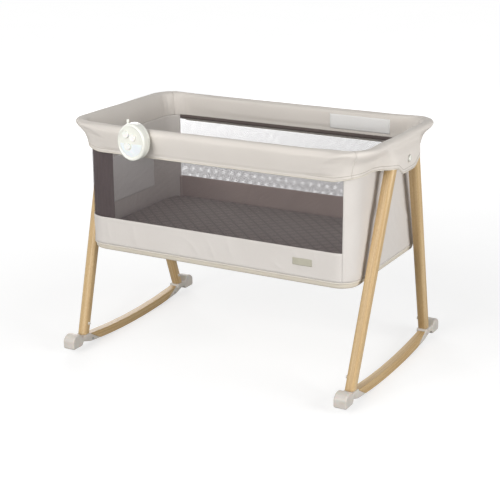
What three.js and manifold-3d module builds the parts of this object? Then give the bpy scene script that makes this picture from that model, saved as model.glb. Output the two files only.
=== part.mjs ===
// A rocking bassinet: a cloth basket with mesh windows hung from a padded rail, on two wooden
// rockers with four splayed legs, with a clip-on sound and light unit. Millimetres, +Z up,
// X along the length, the front is -Y, and the origin is on the floor under the middle.
import * as THREE from "three";
import { mergeVertices } from "three/addons/utils/BufferGeometryUtils.js";
import Module from "manifold-3d";

const wasm = await Module();
wasm.setup();

// Clearances, and how far cutting tools run past what they cut
const seatGap = 0.3;
const cutOverrun = 6;

const fullTurn = 2 * Math.PI;
const quarterTurn = Math.PI / 2;

// Facets of round pieces
const wideRoundSides = 40;
const roundSides = 24;
const smallRoundSides = 12;
const pipingSides = 6;
const wireSides = 8;

// Basket plan, at the outside of the cloth wall
const basketHalfLength = 425;
const basketHalfDepth = 240;
const basketCornerRadius = 58;
const cornerSteps = 6;
const wallThickness = 2;

// Height of the padded rail, which the wall's top, the hubs and the unit follow
const railTop = 692.5;

// Heights of the cloth wall
const wallBottom = 330;
const railSkirtHeight = 70.5;
const wallTop = railTop - railSkirtHeight;
const frontPanelHeight = 81;
const backPanelHeight = 94;

// Where the windows end: inside one corner, and a little way along the next end wall
const windowCornerAngle = 0.46;
const windowEndWrap = 7;

// Padded rail
const railSideFlare = 27;
const railEndFlare = 45;
const railSideHeight = 84.5;
const railEndHeight = 72.5;
const railSideEdge = railTop - railSideHeight;
const railEndEdge = railTop - railEndHeight;
const railLipGap = 0.4;
const railPipingRadius = 1.8;
const railPipingInset = 0.6;

// Steel tube inside the padded rail
const railTubeRadius = 8;
const railTubeWall = 1.2;
const railTubeSideOut = 13;
const railTubeEndOut = 22;
const railTubeDrop = 15.5;
const railTubeJointGap = 0.6;

// Hub that joins two legs to the rail tube at each end, and the cloth cover over it
const hubHalfWidth = 95;
const hubInnerOut = 1;
const hubSocketWall = 2.6;
const hubCrestDrop = 31.5;
const hubTop = railTop - hubCrestDrop;
const hubTopBevel = 20;
const hubShoulder = hubTop - hubTopBevel;
const hubTopSetback = 15;
const hubHeight = 60;
const hubMiddleBottom = hubTop - hubHeight;
const hubMiddleHalf = 32;
const hubLegClear = 60;
const hubCornerWidth = 23;
const hubCornerDepth = 16;
const hubSaddleHalf = 60;
const hubSaddleWall = 3.5;
const hubSaddleSink = 16;
const hubCoverSkin = 3;
const hubCoverHang = 4;
const hubCoverDip = hubMiddleBottom - hubCoverHang;
const hubCoverRise = 22;
const hubCoverLegEdge = hubCoverDip + hubCoverRise;

// Round release button in each hub cover
const releaseButtonRadius = 7.3;
const releaseButtonRise = 28;
const releaseButtonHeight = hubMiddleBottom + releaseButtonRise;
const releaseButtonProud = 3.4;
const releaseButtonLength = 15;
const releaseButtonTravel = 3;
const releaseButtonDome = 1.4;

// Rockers: the wood's underside ends before its upper side, at a slant
const rockerOut = 15;
const rockerX = basketHalfLength + rockerOut;
const rockerRadius = 2200;
const rockerThickness = 25;
const rockerWidth = 23;
const rockerEdge = 2.5;
const rockerFacets = 11;
const rockerOverEnd = 243;
const rockerSlantLength = 53;
const rockerUnderEnd = rockerOverEnd - rockerSlantLength;
const rockerTenonLength = 7;
const rockerTenonEnd = rockerOverEnd + rockerTenonLength;
const rockerTenonInset = 6;
const rockerTenonWidth = 11;

// Legs: a straight line from the foot to a point just under the hub's middle
const legFootOut = 13;
const legFootX = basketHalfLength + legFootOut;
const legFootSetback = 20;
const legFootY = rockerOverEnd + legFootSetback;
const footSeatRise = 5.4;
const legFootHeight = rockerOver(rockerOverEnd) + footSeatRise;
const legTopOut = 34;
const legTopX = basketHalfLength + legTopOut;
const legTopY = 86;
const legGaugeDrop = 1;
const legGaugeHeight = hubMiddleBottom - legGaugeDrop;
const legShoulderLength = 5.5;
const legSpigotHeight = hubCoverLegEdge;
const legShoulderHeight = legSpigotHeight - legShoulderLength;
const legTopDrop = 24;
const legTopHeight = hubTop - legTopDrop;
const legFootHalf = 14.5;
const legTopHalf = 15.8;
const legSpigotHalf = 12.5;
const legTenonHalf = 9;
const legTenonLength = 16;

// Foot caps with their stops
const footSleeveWidth = 25;
const footSleeveBevel = 1.2;
const footMouthGap = 0.6;
const footTipSetback = 2.4;
const footSeatWidth = 34;
const footSeatHalfLength = 17;
const footSeatDrop = 17;
const footStopWidth = 38;
const footStopSetback = 23;
const footStopStart = legFootY + footStopSetback;
const footStopLength = 51;
const footStopEnd = footStopStart + footStopLength;
const footStopSink = 27;
const footStopBottom = legFootHeight - footStopSink;
const footStopRise = 14;
const footStopTop = legFootHeight + footStopRise;
const footStopNotch = 10;
const footBevel = 5;

// Small fasteners
const footScrewHeadRadius = 3;
const footScrewHeadDepth = 1.4;
const footScrewShankRadius = 1.5;
const footScrewLength = 5;
const footScrewInset = 11;
const footScrewSetback = rockerOverEnd - footScrewInset;
const footScrewDrop = 5;
const legPlugRadius = 4.5;
const legPlugRise = 31;
const legPlugHeight = legFootHeight + legPlugRise;
const legPlugProud = 1.2;
const legPlugDepth = 4;

// Base of the basket
const trayDepth = 14;
const trayInset = 3;
const trayEdge = 9;
const traySheet = 2;
const basePipingRadius = 2.2;
const basePipingSink = 1.2;
const baseWireRadius = 5;
const baseBoardThickness = 7;
const crossBarSpacing = 400;
const crossBarWidth = 24;
const crossBarThickness = 8;

// Mattress
const mattressEndGap = 6;
const mattressSideGap = 9;
const mattressEdge = 32;
const mattressCrown = 6;
const mattressPuff = 3;
const mattressCornerRadius = 50;
const mattressQuilt = 42;
const mattressDraw = 5;

// Sewn-on patches, left blank
const patchThickness = 0.6;
const endPatchWidth = 224;
const endPatchHeight = 140;
const endPatchShift = 8;
const endPatchRise = 82;
const endPatchBottom = wallBottom + endPatchRise;
const railPatchWidth = 192;
const railPatchHeight = 44;
const railPatchInset = 199;
const railPatchX = basketHalfLength - railPatchInset;
const railPatchDrop = 61.5;
const railPatchBottom = railTop - railPatchDrop;
const frontTagWidth = 58;
const frontTagHeight = 20;
const frontTagInset = 146;
const frontTagX = basketHalfLength - frontTagInset;
const frontTagRise = 33;
const frontTagBottom = wallBottom + frontTagRise;

// Sound and light unit: an oval case, seen from the front
const unitInset = 208;
const unitX = unitInset - basketHalfLength;
const unitDrop = 33.5;
const unitHeight = railTop - unitDrop;
const unitHalfWidth = 45;
const unitHalfHeight = 52;
const unitBackDepth = 15;
const unitFrontDepth = 20;
const unitWall = 2;
const unitRim = 5;
const unitLipInset = 9;
const unitFaceSink = 2.5;
const unitLampTop = -4;
const unitLampCollar = 3.5;
const unitLampInset = 2.5;
const unitLampDepth = 3;
const unitButtonProud = 1.6;
const unitButtonDepth = 5;
const unitButtonRadius = 9.5;
const unitButtonFlange = 1;
const unitButtonPlaces = {
  unit_power_button: { across: -15, up: 21 },
  unit_sound_button: { across: 7, up: 14 },
  unit_light_button: { across: -11, up: -11.5 },
};
const unitBoardThickness = 1.6;
const unitSpeakerRadius = 20;
const unitSpeakerDepth = 9;
const unitCellRadius = 5.2;
const unitCellLength = 44;
const unitCellPitch = 12;
const unitHatchWidth = 54;
const unitHatchHeight = 32;
const unitHatchThickness = 1.4;
const unitHatchDrop = 14;
const unitSlotCount = 5;
const unitSlotWidth = 2.4;
const unitSlotHeight = 6;
const unitSlotPitch = 5.5;

// Clip that hangs the unit on the rail, with a narrow tab to pull it off by
const clipWidth = 70;
const clipThickness = 2.6;
const clipReach = 38;
const clipHatchGap = 5;
const clipTabWidth = 8;
const clipTabRise = 22;

const materials = {
  cloth: { color: 0xdad6cd, roughness: 0.9, metalness: 0 },
  mesh: { color: 0x6a605c, roughness: 0.85, metalness: 0 },
  quilt: { color: 0x6f6a64, roughness: 0.95, metalness: 0 },
  wood: { color: 0xcbb089, roughness: 0.55, metalness: 0 },
  footPlastic: { color: 0xcdc6be, roughness: 0.5, metalness: 0 },
  hubPlastic: { color: 0xd8d4cc, roughness: 0.5, metalness: 0 },
  gloss: { color: 0xf1f1ea, roughness: 0.25, metalness: 0 },
  lamp: { color: 0xe2e8eb, roughness: 0.3, metalness: 0 },
  steel: { color: 0x9a9a98, roughness: 0.45, metalness: 1 },
  board: { color: 0x8f7f68, roughness: 0.8, metalness: 0 },
  patch: { color: 0xe9e7e1, roughness: 0.8, metalness: 0 },
  tag: { color: 0xb4b1a0, roughness: 0.85, metalness: 0 },
  circuit: { color: 0x2f5b41, roughness: 0.6, metalness: 0 },
  rubber: { color: 0xc9cbc4, roughness: 0.7, metalness: 0 },
};

const bassinet = new THREE.Group();

function addPart(name, geometry, finish) {
  const mesh = new THREE.Mesh(geometry, new THREE.MeshStandardMaterial(materials[finish]));
  mesh.name = name;
  bassinet.add(mesh);
  return mesh;
}

// Closed meshes to solids and back, for the cuts and joins

const mergeDistance = 1e-4;

// Merged points, no collapsed faces, and every face turned outwards
function closed(geometry) {
  const bare = geometry.index ? geometry.toNonIndexed() : geometry.clone();
  bare.deleteAttribute("normal");
  bare.deleteAttribute("uv");
  const merged = mergeVertices(bare, mergeDistance);
  const places = merged.attributes.position;
  const positions = Array.from({ length: places.count }, (_, i) => new THREE.Vector3().fromBufferAttribute(places, i));
  const faces = [];
  for (let i = 0; i < merged.index.count; i += 3) {
    const face = [0, 1, 2].map((k) => merged.index.getX(i + k));
    if (new Set(face).size === 3) faces.push(face);
  }
  return facesOutward(positions, faces);
}

function toSolid(geometry) {
  const whole = closed(geometry);
  return new wasm.Manifold(new wasm.Mesh({
    numProp: 3,
    vertProperties: new Float32Array(whole.attributes.position.array),
    triVerts: new Uint32Array(whole.index.array),
  }));
}

function toGeometry(solid) {
  const mesh = solid.getMesh();
  const geometry = new THREE.BufferGeometry();
  const count = mesh.vertProperties.length / mesh.numProp;
  const positions = new Float32Array(count * 3);
  for (let i = 0; i < count; i += 1) {
    for (let axis = 0; axis < 3; axis += 1) {
      positions[i * 3 + axis] = mesh.vertProperties[i * mesh.numProp + axis];
    }
  }
  geometry.setAttribute("position", new THREE.BufferAttribute(positions, 3));
  geometry.setIndex([...mesh.triVerts]);
  return geometry;
}

function cut(geometry, ...tools) {
  return toGeometry(tools.reduce((solid, tool) => solid.subtract(toSolid(tool)), toSolid(geometry)));
}

function join(geometry, ...others) {
  return toGeometry(others.reduce((solid, other) => solid.add(toSolid(other)), toSolid(geometry)));
}

function common(geometry, other) {
  return toGeometry(toSolid(geometry).intersect(toSolid(other)));
}

function boxBetween(low, high) {
  const size = new THREE.Vector3().subVectors(high, low);
  const middle = new THREE.Vector3().addVectors(low, high).multiplyScalar(1 / 2);
  return new THREE.BoxGeometry(size.x, size.y, size.z).translate(middle.x, middle.y, middle.z);
}

function signedVolume(positions, faces) {
  const [a, b, c] = [new THREE.Vector3(), new THREE.Vector3(), new THREE.Vector3()];
  return faces.reduce((total, [i, j, k]) => {
    a.copy(positions[i]);
    b.copy(positions[j]);
    c.copy(positions[k]);
    return total + a.dot(b.cross(c)) / 6;
  }, 0);
}

function facesOutward(positions, faces) {
  const outward = signedVolume(positions, faces) > 0 ? faces : faces.map(([i, j, k]) => [i, k, j]);
  const geometry = new THREE.BufferGeometry().setFromPoints(positions);
  geometry.setIndex(outward.flat());
  return geometry;
}

function capFaces(outline) {
  const turn = Math.sign(THREE.ShapeUtils.area(outline));
  return THREE.ShapeUtils.triangulateShape(outline, []).map(([i, j, k]) => {
    const same = Math.sign(THREE.ShapeUtils.area([outline[i], outline[j], outline[k]])) === turn;
    return same ? [i, j, k] : [i, k, j];
  });
}

// A solid skinned over rings of points; an open run of rings is closed by flat ends
function ringSolid(rings, endOutlines) {
  const size = rings[0].length;
  const spans = endOutlines ? rings.length - 1 : rings.length;
  const faces = [];
  for (let i = 0; i < spans; i += 1) {
    const here = i * size;
    const next = ((i + 1) % rings.length) * size;
    for (let j = 0; j < size; j += 1) {
      const k = (j + 1) % size;
      faces.push([here + j, next + j, next + k], [here + j, next + k, here + k]);
    }
  }
  if (endOutlines) {
    const last = (rings.length - 1) * size;
    capFaces(endOutlines[0]).forEach(([i, j, k]) => faces.push([i, j, k]));
    capFaces(endOutlines[1]).forEach(([i, j, k]) => faces.push([last + i, last + k, last + j]));
  }
  return facesOutward(rings.flat(), faces);
}

// Places round the basket wall. Run 0 is the right end, 1 the back, 2 the left end, 3 the front,
// each walked anticlockwise, and corner n follows run n.

function runAxes(run) {
  const angle = run * quarterTurn;
  return {
    out: new THREE.Vector2(Math.round(Math.cos(angle)), Math.round(Math.sin(angle))),
    along: new THREE.Vector2(-Math.round(Math.sin(angle)), Math.round(Math.cos(angle))),
    half: run % 2 ? basketHalfDepth : basketHalfLength,
    straight: (run % 2 ? basketHalfLength : basketHalfDepth) - basketCornerRadius,
  };
}

function runPlaces(run, stops) {
  const { out, along, half } = runAxes(run);
  return stops.map((stop) => ({
    x: out.x * half + along.x * stop,
    y: out.y * half + along.y * stop,
    out,
  }));
}

function cornerPlaces(run, from = 0, to = quarterTurn) {
  const { out, along, half, straight } = runAxes(run);
  const centre = out.clone().multiplyScalar(half - basketCornerRadius).addScaledVector(along, straight);
  const steps = Math.max(2, Math.round((cornerSteps * (to - from)) / quarterTurn));
  return Array.from({ length: steps + 1 }, (_, i) => {
    const angle = from + ((to - from) * i) / steps;
    const normal = out.clone().multiplyScalar(Math.cos(angle)).addScaledVector(along, Math.sin(angle));
    return {
      x: centre.x + basketCornerRadius * normal.x,
      y: centre.y + basketCornerRadius * normal.y,
      out: normal,
    };
  });
}

// A whole turn, without the doubled points where runs meet corners
function wholeTurn(endStops) {
  return [0, 1, 2, 3].flatMap((run) => [
    ...runPlaces(run, run % 2 ? [] : endStops),
    ...cornerPlaces(run),
  ]);
}

function sweepWall(places, sectionAt, isLoop = false) {
  const sections = places.map(sectionAt);
  const rings = places.map((place, i) => sections[i].map(([out, height]) => new THREE.Vector3(
    place.x + place.out.x * out,
    place.y + place.out.y * out,
    height,
  )));
  const ends = [sections[0], sections[sections.length - 1]];
  const outlines = ends.map((section) => section.map(([out, height]) => new THREE.Vector2(out, height)));
  return ringSolid(rings, isLoop ? null : outlines);
}

function circleSection(out, height, radius, sides) {
  return Array.from({ length: sides }, (_, i) => {
    const angle = (fullTurn * i) / sides;
    return [out + radius * Math.cos(angle), height + radius * Math.sin(angle)];
  });
}

// Cloth walls, lower panels and mesh windows

const strip = (bottom, top) => () => [
  [-wallThickness, bottom],
  [0, bottom],
  [0, top],
  [-wallThickness, top],
];

const seamAngle = seatGap / basketCornerRadius;
const endStraight = basketHalfDepth - basketCornerRadius;
const windowEndStop = endStraight - windowEndWrap;

// The long side with its window goes round one corner and a little into the next
function sidePlaces(run) {
  const before = (run + 3) % 4;
  return [
    ...runPlaces(before, [windowEndStop]),
    ...cornerPlaces(before),
    ...cornerPlaces(run, 0, windowCornerAngle),
  ];
}

function endPlaces(run) {
  const before = (run + 3) % 4;
  return [
    ...cornerPlaces(before, windowCornerAngle + seamAngle),
    ...runPlaces(run, [windowEndStop - seatGap]),
  ];
}

function addWalls() {
  [["front", 3, frontPanelHeight], ["back", 1, backPanelHeight]].forEach(([side, run, height]) => {
    const sill = wallBottom + height;
    addPart(`${side}_lower_panel`, sweepWall(sidePlaces(run), strip(wallBottom, sill)), "cloth");
    addPart(`${side}_mesh_window`, sweepWall(sidePlaces(run), strip(sill + seatGap, wallTop)), "mesh");
  });
  addPart("right_end_panel", sweepWall(endPlaces(0), strip(wallBottom, wallTop)), "cloth");
  addPart("left_end_panel", sweepWall(endPlaces(2), strip(wallBottom, wallTop)), "cloth");
}

// Padded rail

const spigotOut = legCentre(legTopHeight)[0] + legSpigotHalf - basketHalfLength;
const hubOut = spigotOut + seatGap + hubSocketWall;
const hubCoverOut = hubOut + seatGap + hubCoverSkin;
const legEdgeShare = 0.86;
const dipFlatShare = 0.34;

// How far the cover stands out over the hub, by shares of the hub's half width and of the full height
const coverShares = [
  [0.758, 1], [0.874, 0.973], [0.958, 0.909], [1.026, 0.807], [1.074, 0.636],
  [1.137, 0.455], [1.22, 0.27], [1.35, 0.11], [1.526, 0],
];
const coverInnerShares = [0, 0.34, 0.5, 0.64];

// Outlines of the pad as shares of its flare and of its height, from the outer lip over the crest
const sidePadShares = [
  [0.13, 0], [0.23, 0.18], [0.63, 0.48], [0.94, 0.76], [1, 0.88], [0.84, 0.965],
  [0.52, 1], [0.19, 0.97], [-0.04, 0.88],
];
const endPadShares = [
  [0.18, 0], [0.27, 0.19], [0.45, 0.48], [0.89, 0.75], [1, 0.88], [0.92, 0.965],
  [0.68, 1], [0.42, 0.965], [0.2, 0.87],
];
const hubPadHeightShares = [0, 0.45, 0.58, 0.72];
const hubPadOutShares = [1, 1, 0.94, 0.8];
const padShoulderShare = 0.46;
const nearlyZero = 1e-6;

function onEnd(place) {
  return Math.abs(place.out.x) > 1 - nearlyZero;
}

// 1 over the hub, fading to 0 beyond it
function hubShare(place) {
  const share = Math.abs(place.y) / hubHalfWidth;
  if (!onEnd(place) || share >= coverShares[coverShares.length - 1][0]) return 0;
  const above = coverShares.findIndex(([reach]) => reach > share + nearlyZero);
  if (above === 0) return 1;
  const [[fromReach, fromShare], [toReach, toShare]] = coverShares.slice(above - 1, above + 1);
  return THREE.MathUtils.mapLinear(share, fromReach, toReach, fromShare, toShare);
}

// Height of the pad's lower edge: level along the sides, dipping between the legs at the ends
function padEdge(place) {
  const level = THREE.MathUtils.lerp(railSideEdge, railEndEdge, Math.abs(place.out.x));
  if (!onEnd(place)) return level;
  const share = Math.abs(place.y) / hubHalfWidth;
  const rise = THREE.MathUtils.smoothstep(share, dipFlatShare, legEdgeShare);
  const edge = THREE.MathUtils.lerp(hubCoverDip, hubCoverLegEdge, rise);
  return share < legEdgeShare ? edge : THREE.MathUtils.lerp(edge, level, Math.min(1, share - legEdgeShare));
}

function padSection(place) {
  const end = Math.abs(place.out.x);
  const bulge = hubShare(place);
  const edge = padEdge(place);
  const height = railTop - edge;
  const outer = sidePadShares.map((side, i) => {
    const plainOut = THREE.MathUtils.lerp(side[0] * railSideFlare, endPadShares[i][0] * railEndFlare, end);
    const plainHeight = edge + height * THREE.MathUtils.lerp(side[1], endPadShares[i][1], end);
    if (i >= hubPadOutShares.length) return [plainOut, plainHeight];
    const coverHeight = i ? THREE.MathUtils.lerp(hubCoverDip, railTop, hubPadHeightShares[i]) : edge;
    return [
      THREE.MathUtils.lerp(plainOut, hubCoverOut * hubPadOutShares[i], bulge),
      THREE.MathUtils.lerp(plainHeight, coverHeight, bulge),
    ];
  });
  const seat = wallTop + seatGap;
  return [
    [railLipGap, edge],
    ...outer,
    [-wallThickness, seat + (railTop - seat) * padShoulderShare],
    [-wallThickness, seat],
    [railLipGap, seat],
  ];
}

const outwardStops = [...coverInnerShares, ...coverShares.map(([reach]) => reach)];
const endStops = [...outwardStops.slice(1).reverse().map((share) => -share), ...outwardStops]
  .map((share) => share * hubHalfWidth);

function padPlaces(run) {
  const before = (run + 3) % 4;
  const half = quarterTurn / 2;
  return [
    ...cornerPlaces(before, half + seamAngle / 2),
    ...runPlaces(run, run % 2 ? [] : endStops),
    ...cornerPlaces(run, 0, half - seamAngle / 2),
  ];
}

// Steel tube

function tubeCentre(place) {
  const end = Math.abs(place.out.x);
  return THREE.MathUtils.lerp(railTubeSideOut, railTubeEndOut, end);
}

const tubeHeight = railTop - railTubeDrop;
const tubeSection = (radius) => (place) => circleSection(tubeCentre(place), tubeHeight, radius, smallRoundSides);

// Half of the loop: from the middle of one end round the long side to the middle of the other
function tubePlaces(run, endOverrun) {
  const before = (run + 3) % 4;
  const after = (run + 1) % 4;
  const start = runPlaces(before, [railTubeJointGap / 2 - endOverrun]);
  const finish = runPlaces(after, [endOverrun - railTubeJointGap / 2]);
  return [...start, ...cornerPlaces(before), ...cornerPlaces(run), ...finish];
}

function railTube(run) {
  return cut(
    sweepWall(tubePlaces(run, 0), tubeSection(railTubeRadius)),
    sweepWall(tubePlaces(run, cutOverrun), tubeSection(railTubeRadius - railTubeWall)),
  );
}

// Legs: soft square rods, cut level at the foot, with a tenon below

const legSides = 16;
const legSquareness = 3;

function legCentre(height) {
  const share = (height - legFootHeight) / (legGaugeHeight - legFootHeight);
  return [THREE.MathUtils.lerp(legFootX, legTopX, share), THREE.MathUtils.lerp(legFootY, legTopY, share)];
}

function legRing(height, half) {
  const [x, y] = legCentre(height);
  return Array.from({ length: legSides }, (_, i) => {
    const angle = (fullTurn * (i + 0.5)) / legSides;
    const [c, s] = [Math.cos(angle), Math.sin(angle)];
    const size = half / (Math.abs(c) ** legSquareness + Math.abs(s) ** legSquareness) ** (1 / legSquareness);
    return new THREE.Vector3(x + size * c, y + size * s, height);
  });
}

function flatOutline(ring) {
  return ring.map((point) => new THREE.Vector2(point.x, point.y));
}

function legHalfAt(height) {
  const share = (height - legFootHeight) / (legTopHeight - legFootHeight);
  return THREE.MathUtils.lerp(legFootHalf, legTopHalf, share);
}

function legBar(bottom, top, grow) {
  const rings = [legRing(bottom, legHalfAt(bottom) + grow), legRing(top, legHalfAt(top) + grow)];
  return ringSolid(rings, rings.map(flatOutline));
}

// A straight-sided stretch of the leg, for its tenon below and its spigot above
function legStud(bottom, top, half) {
  const rings = [legRing(bottom, half), legRing(top, half)];
  return ringSolid(rings, rings.map(flatOutline));
}

function legShoulder() {
  const rings = [
    legRing(legShoulderHeight, legHalfAt(legShoulderHeight)),
    legRing(legSpigotHeight, legSpigotHalf),
  ];
  return ringSolid(rings, rings.map(flatOutline));
}

// Disc-shaped plug over the leg's bolt, on the face that looks to the middle of the bassinet
function legPlug(grow) {
  const [x, y] = legCentre(legPlugHeight);
  const face = x - legHalfAt(legPlugHeight);
  const length = legPlugProud + legPlugDepth;
  const radius = legPlugRadius + grow;
  const disc = new THREE.CylinderGeometry(radius, radius, length + 2 * grow, roundSides);
  return disc.rotateZ(quarterTurn).translate(face + (legPlugDepth - legPlugProud) / 2, y, legPlugHeight);
}

function legBody() {
  const foot = legFootHeight + seatGap;
  const whole = join(
    legBar(foot, legShoulderHeight, 0),
    legStud(legFootHeight - legTenonLength, foot + legTenonHalf, legTenonHalf),
    legShoulder(),
    legStud(legSpigotHeight, legTopHeight, legSpigotHalf),
  );
  return cut(whole, legPlug(seatGap));
}

// Hubs

const hubOuterX = basketHalfLength + hubOut;
const hubInnerX = basketHalfLength + hubInnerOut;

// A bar along Y whose outline is given in X and height
function barAlongDepth(outline, halfWidth) {
  const shape = new THREE.Shape(outline.map(([x, height]) => new THREE.Vector2(x, height)));
  const bar = new THREE.ExtrudeGeometry(shape, { depth: 2 * halfWidth, bevelEnabled: false });
  return bar.rotateX(quarterTurn).translate(0, halfWidth, 0);
}

// A plate along X whose outline is given in depth and height
function plateAlongLength(outline, middleX, width, bevel = 0) {
  const shape = new THREE.Shape(outline.map(([y, height]) => new THREE.Vector2(y, height)));
  const plate = new THREE.ExtrudeGeometry(shape, {
    depth: width - 2 * bevel,
    bevelEnabled: bevel > 0,
    bevelThickness: bevel,
    bevelSize: bevel,
    bevelOffset: -bevel,
    bevelSegments: 1,
  });
  plate.translate(0, 0, bevel - width / 2);
  plate.rotateY(quarterTurn).rotateX(quarterTurn);
  return plate.translate(middleX, 0, 0);
}

// Rounded outer corners of the hub, as shares of the corner's width and depth
const hubCornerShares = [[0, 0], [0.43, 0.07], [0.74, 0.24], [0.96, 0.49], [1, 1]];

function hubPlan(grow, bottom) {
  const corner = hubCornerShares.map(([across, back]) => [
    hubOuterX + grow - hubCornerDepth * back,
    hubHalfWidth - hubCornerWidth * (1 - across) + grow,
  ]);
  const outline = [[hubInnerX - grow, hubHalfWidth + grow], ...corner.reverse()];
  const shape = new THREE.Shape([
    ...outline.map(([x, y]) => new THREE.Vector2(x, y)),
    ...outline.reverse().map(([x, y]) => new THREE.Vector2(x, -y)),
  ]);
  const depth = hubTop + cutOverrun - bottom;
  return new THREE.ExtrudeGeometry(shape, { depth, bevelEnabled: false }).translate(0, 0, bottom);
}

function hubEnvelope(grow, bottom) {
  return common(hubPlan(grow, bottom), barAlongDepth([
    [hubInnerX - grow, bottom],
    [hubOuterX + grow, bottom],
    [hubOuterX + grow, hubShoulder],
    [hubOuterX - hubTopSetback + grow, hubTop + grow],
    [hubInnerX - grow, hubTop + grow],
  ], hubHalfWidth + grow));
}

function hubSaddle(grow) {
  const middle = basketHalfLength + railTubeEndOut;
  const half = railTubeRadius + hubSaddleWall + grow;
  return boxBetween(
    new THREE.Vector3(middle - half, -hubSaddleHalf - grow, hubTop - hubSaddleSink),
    new THREE.Vector3(middle + half, hubSaddleHalf + grow, tubeHeight + grow),
  );
}

function releaseBore(radius, from) {
  const to = hubOuterX + hubCoverSkin + cutOverrun;
  const bore = new THREE.CylinderGeometry(radius, radius, to - from, roundSides);
  return bore.rotateZ(quarterTurn).translate((from + to) / 2, 0, releaseButtonHeight);
}

const releaseButtonTip = hubOuterX + seatGap + hubCoverSkin + releaseButtonProud;
const releaseButtonBack = releaseButtonTip - releaseButtonLength;

function mirrorY(geometry) {
  return closed(geometry.clone().scale(1, -1, 1));
}

function mirrorX(geometry) {
  return closed(geometry.clone().scale(-1, 1, 1));
}

function bothSpigots(grow) {
  const spigot = legStud(hubMiddleBottom, legTopHeight + grow, legSpigotHalf + grow);
  return [spigot, mirrorY(spigot)];
}

// The hub's underside rises from its middle to the legs, so the cover's edge hides it
function hubUndercut() {
  const past = hubHalfWidth + cutOverrun;
  const seat = legSpigotHeight + seatGap;
  return plateAlongLength([
    [hubMiddleHalf, hubMiddleBottom - cutOverrun],
    [hubMiddleHalf, hubMiddleBottom],
    [hubLegClear, seat],
    [past, seat],
    [past, hubMiddleBottom - cutOverrun],
  ], (hubInnerX + hubOuterX) / 2, hubOuterX - hubInnerX + 2 * cutOverrun);
}

function hubBody() {
  const block = join(hubEnvelope(0, hubMiddleBottom), hubSaddle(0));
  const tubes = [1, 3].map((run) => sweepWall(tubePlaces(run, cutOverrun), tubeSection(railTubeRadius + seatGap)));
  return cut(
    block,
    ...tubes,
    ...bothSpigots(seatGap),
    hubUndercut(),
    mirrorY(hubUndercut()),
    releaseBore(releaseButtonRadius + seatGap, releaseButtonBack - releaseButtonTravel - seatGap),
  );
}

// Domed front of the button, as shares of its radius and of the dome's height
const buttonDomeShares = [[1, 0], [0.8, 0.7], [0, 1]];

function releaseButton() {
  const shoulder = releaseButtonLength - releaseButtonDome;
  const dome = buttonDomeShares.map(([radius, height]) => (
    new THREE.Vector2(releaseButtonRadius * radius, shoulder + releaseButtonDome * height)
  ));
  const profile = [new THREE.Vector2(0, 0), new THREE.Vector2(releaseButtonRadius, 0), ...dome];
  const button = new THREE.LatheGeometry(profile, roundSides);
  return button.rotateZ(-quarterTurn).translate(releaseButtonBack, 0, releaseButtonHeight);
}

// Clears the pad's lip where it hangs between the hub and the end wall
function lipTrim() {
  const half = hubHalfWidth + seatGap;
  return boxBetween(
    new THREE.Vector3(basketHalfLength, -half, hubCoverDip - cutOverrun),
    new THREE.Vector3(hubInnerX, half, wallTop + seatGap),
  );
}

function endPad() {
  return cut(
    sweepWall(padPlaces(0), padSection),
    sweepWall(wholeTurn([]), tubeSection(railTubeRadius + seatGap), true),
    hubEnvelope(seatGap, hubCoverDip - cutOverrun),
    hubSaddle(seatGap),
    lipTrim(),
    releaseBore(releaseButtonRadius + seatGap, hubInnerX + hubSocketWall),
  );
}

function sidePad(run) {
  return cut(
    sweepWall(padPlaces(run), padSection),
    sweepWall(wholeTurn([]), tubeSection(railTubeRadius + seatGap), true),
  );
}

function halfTurn(geometry) {
  return geometry.clone().rotateZ(Math.PI);
}

function addRail() {
  const pad = endPad();
  addPart("rail_pad_front", sidePad(3), "cloth");
  addPart("rail_pad_back", sidePad(1), "cloth");
  addPart("rail_pad_right", pad, "cloth");
  addPart("rail_pad_left", halfTurn(pad), "cloth");
  addPart("rail_tube_front", railTube(3), "steel");
  addPart("rail_tube_back", railTube(1), "steel");
  const piping = sweepWall(wholeTurn(endStops), (place) => {
    const [out] = padSection(place)[1];
    const height = padEdge(place) - seatGap - railPipingRadius;
    return circleSection(out - railPipingInset, height, railPipingRadius, pipingSides);
  }, true);
  addPart("rail_piping", piping, "cloth");
}

function addHubs() {
  const hub = hubBody();
  const button = releaseButton();
  addPart("hub_right", hub, "hubPlastic");
  addPart("hub_left", halfTurn(hub), "hubPlastic");
  addPart("release_button_right", button, "gloss");
  addPart("release_button_left", halfTurn(button), "gloss");
}

// Base: tray cover, wire frame, cross bars and board

const trayTop = wallBottom - 2 * basePipingRadius - 2 * seatGap;
const trayBottom = trayTop - trayDepth;

function levelRing(out, height) {
  return wholeTurn([]).map((place) => new THREE.Vector3(
    place.x + place.out.x * out,
    place.y + place.out.y * out,
    height,
  ));
}

function tray() {
  const rings = [
    levelRing(-trayInset - trayEdge, trayBottom),
    levelRing(-trayInset - traySheet, trayBottom + traySheet),
    levelRing(-trayInset, trayTop - trayDepth / 2),
    levelRing(-trayInset, trayTop),
    levelRing(-trayInset - traySheet, trayTop),
    levelRing(-trayInset - traySheet, trayTop - trayDepth / 2),
    levelRing(-trayInset - 2 * traySheet, trayBottom + 2 * traySheet),
    levelRing(-trayInset - trayEdge - traySheet, trayBottom + traySheet),
  ];
  return ringSolid(rings, [flatOutline(rings[0]), flatOutline(rings[rings.length - 1])]);
}

const wireOut = -trayInset - trayEdge - traySheet - baseWireRadius;
const wireHeight = trayBottom + traySheet + seatGap + baseWireRadius;
const boardBottom = wireHeight + baseWireRadius + seatGap;
const boardTop = boardBottom + baseBoardThickness;

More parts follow.
